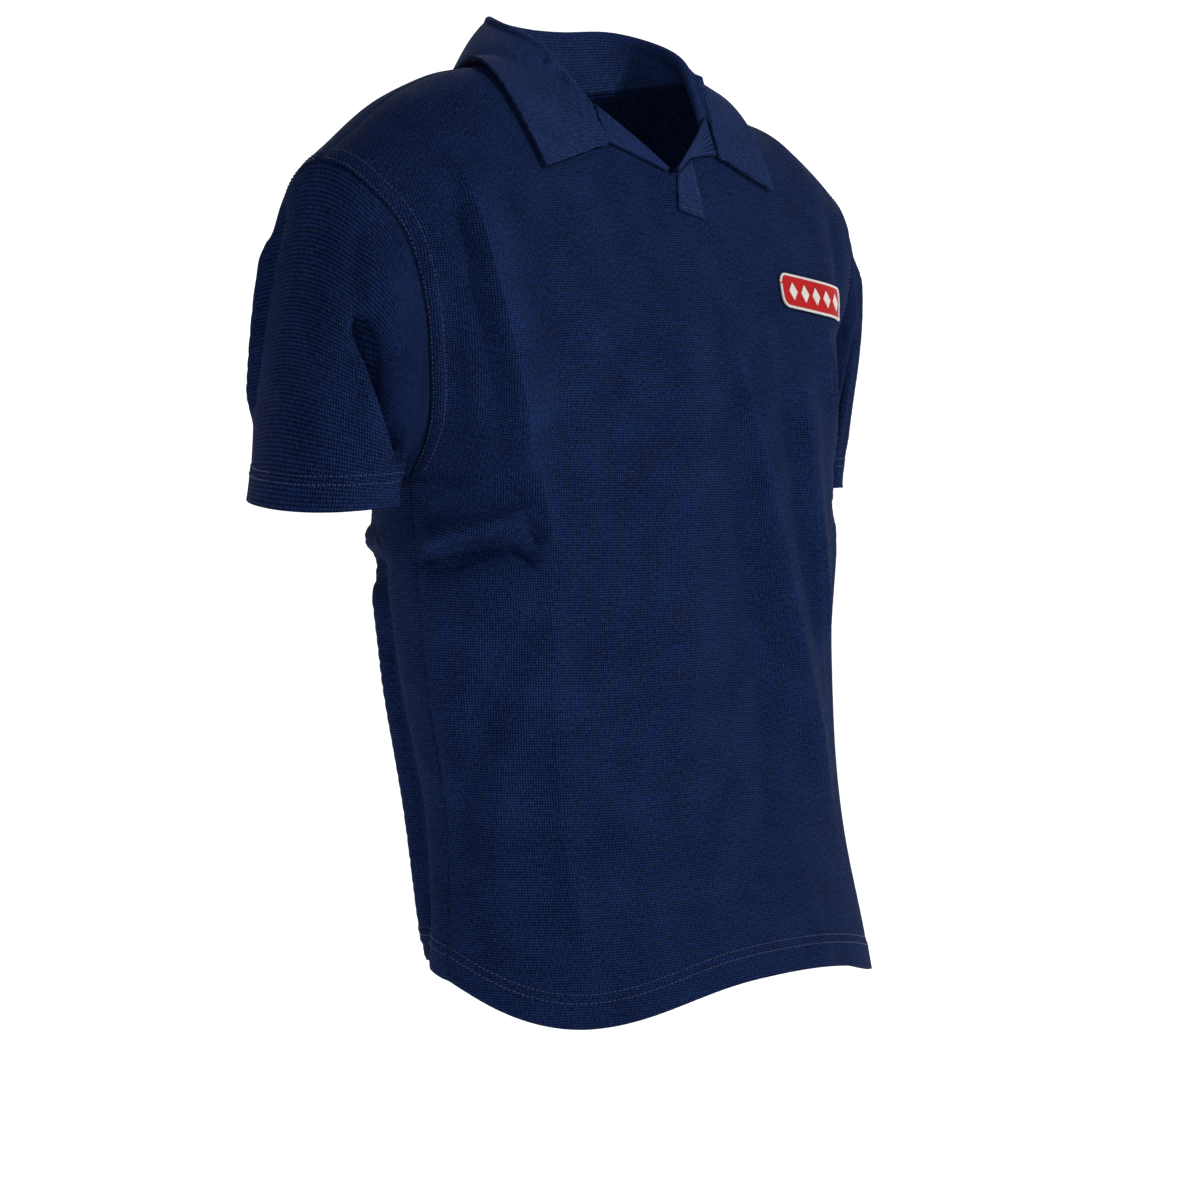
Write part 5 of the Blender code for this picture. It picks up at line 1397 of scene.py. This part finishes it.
def twill_material():
    """Woven polyester with diagonal ribs."""
    made, shader = new_material("red_polyester_twill", Roughness=0.6, Specular_IOR_Level=0.2)
    place = node(made, "ShaderNodeUVMap", {"uv_map": "knit"}).outputs["UV"]
    ribs = node(
        made, "ShaderNodeTexWave", {"bands_direction": "DIAGONAL"},
        Vector=place, Scale=300.0, Distortion=0.6,
    )
    ramp = node(made, "ShaderNodeValToRGB", None, _0=ribs.outputs["Fac"])
    for stop, colour in zip(ramp.color_ramp.elements, ("#a0060f", "#dc0d18")):
        stop.color = linear(colour)
    made.node_tree.links.new(ramp.outputs["Color"], shader.inputs["Base Color"])
    height = ribs.outputs["Fac"]
    bump = node(made, "ShaderNodeBump", None, Strength=0.5, Distance=0.0002, Height=height)
    made.node_tree.links.new(bump.outputs["Normal"], shader.inputs["Normal"])
    return made


navy_thread = plain_thread("navy_polyester_thread", "#152348", "#30437a")
white_thread = plain_thread("off_white_merrow_thread", "#dedad2", "#fdfaf4")
red_twill = twill_material()
print("threads:", navy_thread.name, white_thread.name)

# %% [markdown]
# ## The pieces
# Every piece stands for the solid of the same name. Seams are matched before the walls are made.

# %% Pieces
THICKNESS = {"collar": COLLAR_CLOTH, "patch": PATCH_CLOTH}
FINISH = {
    "front": pique_front, "back": pique_back, "sleeve_right": pique, "sleeve_left": pique,
    "patch": red_twill,  # and the collar's knit for the rest
}
SEWN = {
    "front": ("top", "right", "left"), "back": ("top", "right", "left"),
    "sleeve_right": ("top",), "sleeve_left": ("top",), "collar": ("top",),
}

cloths = {}
for name, grid in grids.items():
    cloths[name] = Cloth(
        name, grid, wraps=name.startswith("sleeve"), sewn=SEWN.get(name, ()),
        thickness=THICKNESS.get(name, KNIT),
    )
share_seam_directions(list(cloths.values()))
for name, cloth in cloths.items():
    open_seams(cloth)
    piece = make_cloth(cloth, outer_lift[name], FINISH.get(name, collar_knit))
    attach(piece, "root")
    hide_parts(name)

# %% [markdown]
# ## Stitches
# Top stitching is what makes a seam read as sewn. Each stitch is a short lozenge of thread that
# lies on the cloth and dips at its ends. Drawing them in the material would be lighter, but real
# thread catches the light and casts a little shadow. All stitches of one seam are one mesh.

# %% Stitch helper
STITCH_LONG, STITCH_SPACE, THREAD_RADIUS = 0.0026, 0.0034, 0.00042
ROUND = 5                # points round a thread
# along a stitch: the share of its length, then how thick and how high it is, in thread radii
STITCH_FORM = ((0.0, 0.25, -0.6), (0.28, 1.0, 0.35), (0.72, 1.0, 0.35), (1.0, 0.25, -0.6))


def line_on(name, rows, cols, out=0.0):
    """Points on a piece's outer face at places of its grid, which may lie between its points."""
    cloth = cloths[name]
    lift = cloth.thickness / 2 + outer_lift[name] + out
    face = cloth.grid + cloth.through * lift[..., None]
    rows, cols = np.asarray(rows, float), np.asarray(cols, float)
    r0 = np.clip(np.floor(rows).astype(int), 0, face.shape[0] - 2)
    if cloth.wraps:
        c0 = np.floor(cols).astype(int) % face.shape[1]
        c1 = (c0 + 1) % face.shape[1]
        v = (cols - np.floor(cols))[:, None]
    else:
        c0 = np.clip(np.floor(cols).astype(int), 0, face.shape[1] - 2)
        c1 = c0 + 1
        v = (cols - c0)[:, None]
    u = (rows - r0)[:, None]

    def mixed(field):
        top = field[r0, c0] * (1 - v) + field[r0, c1] * v
        low = field[r0 + 1, c0] * (1 - v) + field[r0 + 1, c1] * v
        return top * (1 - u) + low * u

    return mixed(face), unit(mixed(cloth.through))


def stitches(lines, name, finish, long=STITCH_LONG, space=STITCH_SPACE, radius=THREAD_RADIUS):
    """One mesh of thread lozenges along lines of (points, outward directions)."""
    points, faces = [], []
    for line, outs in lines:
        along = lengths(line)
        for start in np.arange(space / 2, along[-1] - long, space):
            at = start + long * np.array([share for share, *_ in STITCH_FORM])
            spine = np.stack([np.interp(at, along, line[:, k]) for k in range(3)], axis=1)
            out = unit(np.array([np.interp(at[1], along, outs[:, k]) for k in range(3)]))
            ahead = unit(spine[-1] - spine[0])
            side = np.cross(out, ahead)
            base = len(points)
            for place, (_, girth, height) in zip(spine, STITCH_FORM):
                for k in range(ROUND):
                    turn = 2 * math.pi * k / ROUND
                    ring = side * math.cos(turn) + out * math.sin(turn)
                    points.append(place + out * radius * height + ring * radius * girth)
            for r in range(3):
                for k in range(ROUND):
                    n = (k + 1) % ROUND
                    a, b = base + r * ROUND, base + (r + 1) * ROUND
                    faces.append((a + k, a + n, b + n, b + k))
            faces.append(tuple(base + k for k in reversed(range(ROUND))))
            faces.append(tuple(base + 3 * ROUND + k for k in range(ROUND)))
    made = new_object(name, points, faces, finish)
    made.data.shade_smooth()
    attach(made, "root")
    print(name, "stitches:", len(faces) // (3 * ROUND + 2))


# %% [markdown]
# ### Where the stitches run
# A line is given by its distance from an edge of the piece, as a sewing machine's guide does it.
# At each column the row at that distance is looked up, so the stitches follow every fold.

# %% Lines at a distance from an edge
def rows_at(name, distance, from_row):
    """For each column, the row (with its fraction) at a distance from the first or last row."""
    gap = from_rows(cloths[name].grid, from_row)
    rows = []
    for c in range(gap.shape[1]):
        if from_row == 0:
            rows.append(np.interp(distance, gap[:, c], np.arange(gap.shape[0])))
        else:
            rows.append(np.interp(distance, gap[::-1, c], np.arange(gap.shape[0])[::-1]))
    return np.array(rows), np.arange(gap.shape[1], dtype=float)


def round_line(name, distance, from_row):
    """A stitched line right round a sleeve, or from side to side of a panel."""
    rows, cols = rows_at(name, distance, from_row)
    points, outs = line_on(name, rows, cols)
    if cloths[name].wraps:
        points, outs = np.concatenate([points, points[:1]]), np.concatenate([outs, outs[:1]])
    return points, outs


def side_line(name, distance, side, rows):
    """A line through these rows of a piece, at a distance from one of its sides."""
    grid = cloths[name].grid
    cols = []
    for r in rows:
        along = lengths(grid[int(round(r))])
        gap = along if side == "right" else along[-1] - along
        order = np.argsort(gap)
        cols.append(np.interp(distance, gap[order], np.arange(grid.shape[1])[order]))
    return line_on(name, rows, np.array(cols))


for title, names, depth in (
    ("hem_cover_stitch", ("front", "back"), HEM_DEPTH),
    ("sleeve_cover_stitch", ("sleeve_right", "sleeve_left"), SLEEVE_HEM_DEPTH),
):
    rows_up = (depth, depth - COVER_ROWS)
    stitches([round_line(name, up, -1) for name in names for up in rows_up], title, navy_thread)


# %% [markdown]
# ### Armholes, collar and placket
# The body side of each armhole is stitched down in two rows, about 2 mm and 11 mm from the seam.
# The collar and revers have one row 7 mm in from their edges, and the placket strip one close to
# its edge.

# %% Armhole, collar and placket stitches
ARMHOLE_ROWS = (0.0020, 0.0110)
beside_armhole = np.arange(1, FRONT_COUNTS[3])
armhole_lines = [
    side_line(name, distance, side, beside_armhole)
    for name in ("front", "back") for side in ("right", "left") for distance in ARMHOLE_ROWS
]
stitches(armhole_lines, "armhole_top_stitch", navy_thread)

COLLAR_INSET = 0.0065
COLLAR_PLACES = 40       # places at which the line up each end of the leaf is looked up
leaf_last = cloths["collar"].grid.shape[0] - 1
leaf_edge = round_line("collar", COLLAR_INSET, -1)
end_trim = int(np.argmax(lengths(leaf_edge[0]) > COLLAR_INSET))
collar_lines = [tuple(part[end_trim:-end_trim] for part in leaf_edge)]
fall_rows = np.linspace(FALL_ROW * COLLAR_FINER, leaf_last, COLLAR_PLACES)
for side in ("right", "left"):
    points, outs = side_line("collar", COLLAR_INSET, side, fall_rows)
    keep = lengths(points) < lengths(points)[-1] - COLLAR_INSET
    collar_lines.append((points[keep], outs[keep]))
stitches(collar_lines, "collar_top_stitch", navy_thread)

NEAR_SIDE = 0.12         # how far in from its sides the strip is stitched, as a share of its width
NEAR_FOOT = NEAR_SIDE / 1.4   # the strip is about 1.4 times as long as it is wide
SIDE_PLACES = 30
foot, far_side = 1 - NEAR_FOOT, 1 - NEAR_SIDE
box = np.array([(0.0, NEAR_SIDE), (foot, NEAR_SIDE), (foot, far_side), (0.0, far_side)])
walk = np.concatenate([np.linspace(a, b, SIDE_PLACES) for a, b in zip(box[:-1], box[1:])])
placket_rows, placket_cols = (count - 1 for count in PLACKET_GRID)
placket_line = line_on("placket", walk[:, 0] * placket_rows, walk[:, 1] * placket_cols)
stitches([placket_line], "placket_top_stitch", navy_thread)

# %% [markdown]
# ### The patch
# A merrowed edge is thread wrapped round and round the patch's rim, so it is a thick cord of
# slanted wraps. The motif is a row of lozenges in satin stitch: thin raised plates just over the
# twill. It is plain on purpose, and has no letters.

# %% Patch edge and motif
MERROW_LONG, MERROW_SPACE, MERROW_RADIUS = 0.0021, 0.00085, 0.00105
MERROW_SINK = -0.0002
EDGE_PLACES, END_PLACES = 120, 30    # places along the patch and down its ends
patch_rows, patch_cols = (float(count - 1) for count in PATCH_GRID)
rim = np.concatenate([
    np.linspace(start, end, count)
    for start, end, count in (
        ((0.0, 0.0), (0.0, patch_cols), EDGE_PLACES),
        ((0.0, patch_cols), (patch_rows, patch_cols), END_PLACES),
        ((patch_rows, patch_cols), (patch_rows, 0.0), EDGE_PLACES),
        ((patch_rows, 0.0), (0.0, 0.0), END_PLACES),
    )
])
rim_line = line_on("patch", rim[:, 0], rim[:, 1], MERROW_SINK)
stitches([rim_line], "patch_merrowed_edge", white_thread, MERROW_LONG, MERROW_SPACE, MERROW_RADIUS)

LOZENGES = 5
LOZENGE_FIRST, LOZENGE_STEP, LOZENGE_HALF = 0.16, 0.17, 0.058   # shares of the length
LOZENGE_TALL = 0.27                      # half its height, as a share of the patch's
LOZENGE_LOW, LOZENGE_HIGH = 0.00005, 0.00055
plates, plate_faces = [], []
for k in range(LOZENGES):
    middle = LOZENGE_FIRST + k * LOZENGE_STEP
    ends = (middle - LOZENGE_HALF, middle, middle + LOZENGE_HALF)
    # the patch's columns stand closer towards its ends, as the sine does
    start, centre, end = (0.5 + math.asin(2 * share - 1) / math.pi for share in ends)
    low, high = 0.5 - LOZENGE_TALL, 0.5 + LOZENGE_TALL
    corners = np.array([(low, centre), (0.5, end), (high, centre), (0.5, start), (low, centre)])
    round_it = between(corners, 4)[:-1]
    spots = np.concatenate([round_it, [(0.5, centre)]]) * (patch_rows, patch_cols)
    base, count = len(plates), len(round_it)
    for height in (LOZENGE_LOW, LOZENGE_HIGH):
        plates += list(line_on("patch", spots[:, 0], spots[:, 1], height)[0])
    for i in range(count):
        n = (i + 1) % count
        plate_faces.append((base + i, base + n, base + count + 1 + n, base + count + 1 + i))
        plate_faces.append((base + count + 1 + i, base + count + 1 + n, base + 2 * count + 1))
        plate_faces.append((base + n, base + i, base + count))
lozenges = new_object("patch_lozenges", plates, plate_faces, white_thread)
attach(lozenges, "root")
print("lozenges:", LOZENGES)
# The areas here are measured on the finished pieces.


# %% [markdown]
# ## Floor, backdrop and light
# A studio shot of a dark garment needs a bright surround and one clear key light. The key stands
# in front of the shirt, to the right of the camera, so the chest and the far collar are lit and
# the near sleeve falls into shade. A sweep of pale card is floor and backdrop in one.

# %% Floor and backdrop
FLOOR_Z = -1.05
CARD_NEAR, CARD_BEND, CARD_TOP = -4.0, 2.2, 4.5   # where the card starts, bends up and ends
CARD_HALF, BEND_RADIUS = 5.0, 1.2
sweep = [(CARD_NEAR, 0.0), (CARD_BEND, 0.0)]
sweep += [
    (CARD_BEND + BEND_RADIUS * math.sin(t), BEND_RADIUS - BEND_RADIUS * math.cos(t))
    for t in np.linspace(0.1, math.pi / 2, 12)
]
sweep += [(CARD_BEND + BEND_RADIUS, CARD_TOP)]
card_points = []
for along, high in sweep:
    for side in (-CARD_HALF, CARD_HALF):
        spot = ahead * along + rightwards * side
        card_points.append((spot.x, spot.y, FLOOR_Z + high))
card_faces = [(2 * k, 2 * k + 1, 2 * k + 3, 2 * k + 2) for k in range(len(sweep) - 1)]
card, card_shader = new_material(
    "matt_white_card", Roughness=0.9, Emission_Strength=0.55, Emission_Color=(1.0, 1.0, 1.0, 1.0)
)
grain = node(card, "ShaderNodeTexNoise", None, Scale=6.0)
card_ramp = node(card, "ShaderNodeValToRGB", None, _0=grain.outputs["Fac"])
for stop, colour in zip(card_ramp.color_ramp.elements, ("#f1f1f1", "#f8f8f8")):
    stop.color = linear(colour)
card.node_tree.links.new(card_ramp.outputs["Color"], card_shader.inputs["Base Color"])
card_sweep = new_object("card_sweep", card_points, card_faces, card)
card_sweep.data.shade_smooth()
print("floor at", FLOOR_Z)

# %% Lights
SOFT_BOXES = {  # place, what it points at, side in metres, watts and colour
    "key": ((1.10, -2.45, 1.70), (0.0, 0.0, -0.25), 0.35, 52.0, (1.0, 0.985, 0.96)),
    "fill": ((-2.75, -1.2, 0.9), (0.0, 0.0, -0.30), 1.2, 17.0, (0.95, 0.97, 1.0)),
    "rim": ((1.6, 2.0, 1.9), (0.0, 0.0, -0.1), 1.0, 25.0, (1.0, 1.0, 1.0)),
}
for name, (place, target, side, watts, colour) in SOFT_BOXES.items():
    data = bpy.data.lights.new(name, "AREA")
    data.shape, data.size, data.energy, data.color = "SQUARE", side, watts, colour
    lamp = bpy.data.objects.new(name, data)
    lamp.location = place
    lamp.rotation_euler = (Vector(target) - Vector(place)).to_track_quat("-Z", "Y").to_euler()
    bpy.context.scene.collection.objects.link(lamp)
world = bpy.data.worlds.new("studio")
bpy.context.scene.world = world
world.use_nodes = True
background = world.node_tree.nodes["Background"]
background.inputs["Color"].default_value = (0.95, 0.97, 1.0, 1.0)
background.inputs["Strength"].default_value = 0.08
bpy.context.scene.view_settings.view_transform = "Standard"
print("lights placed")
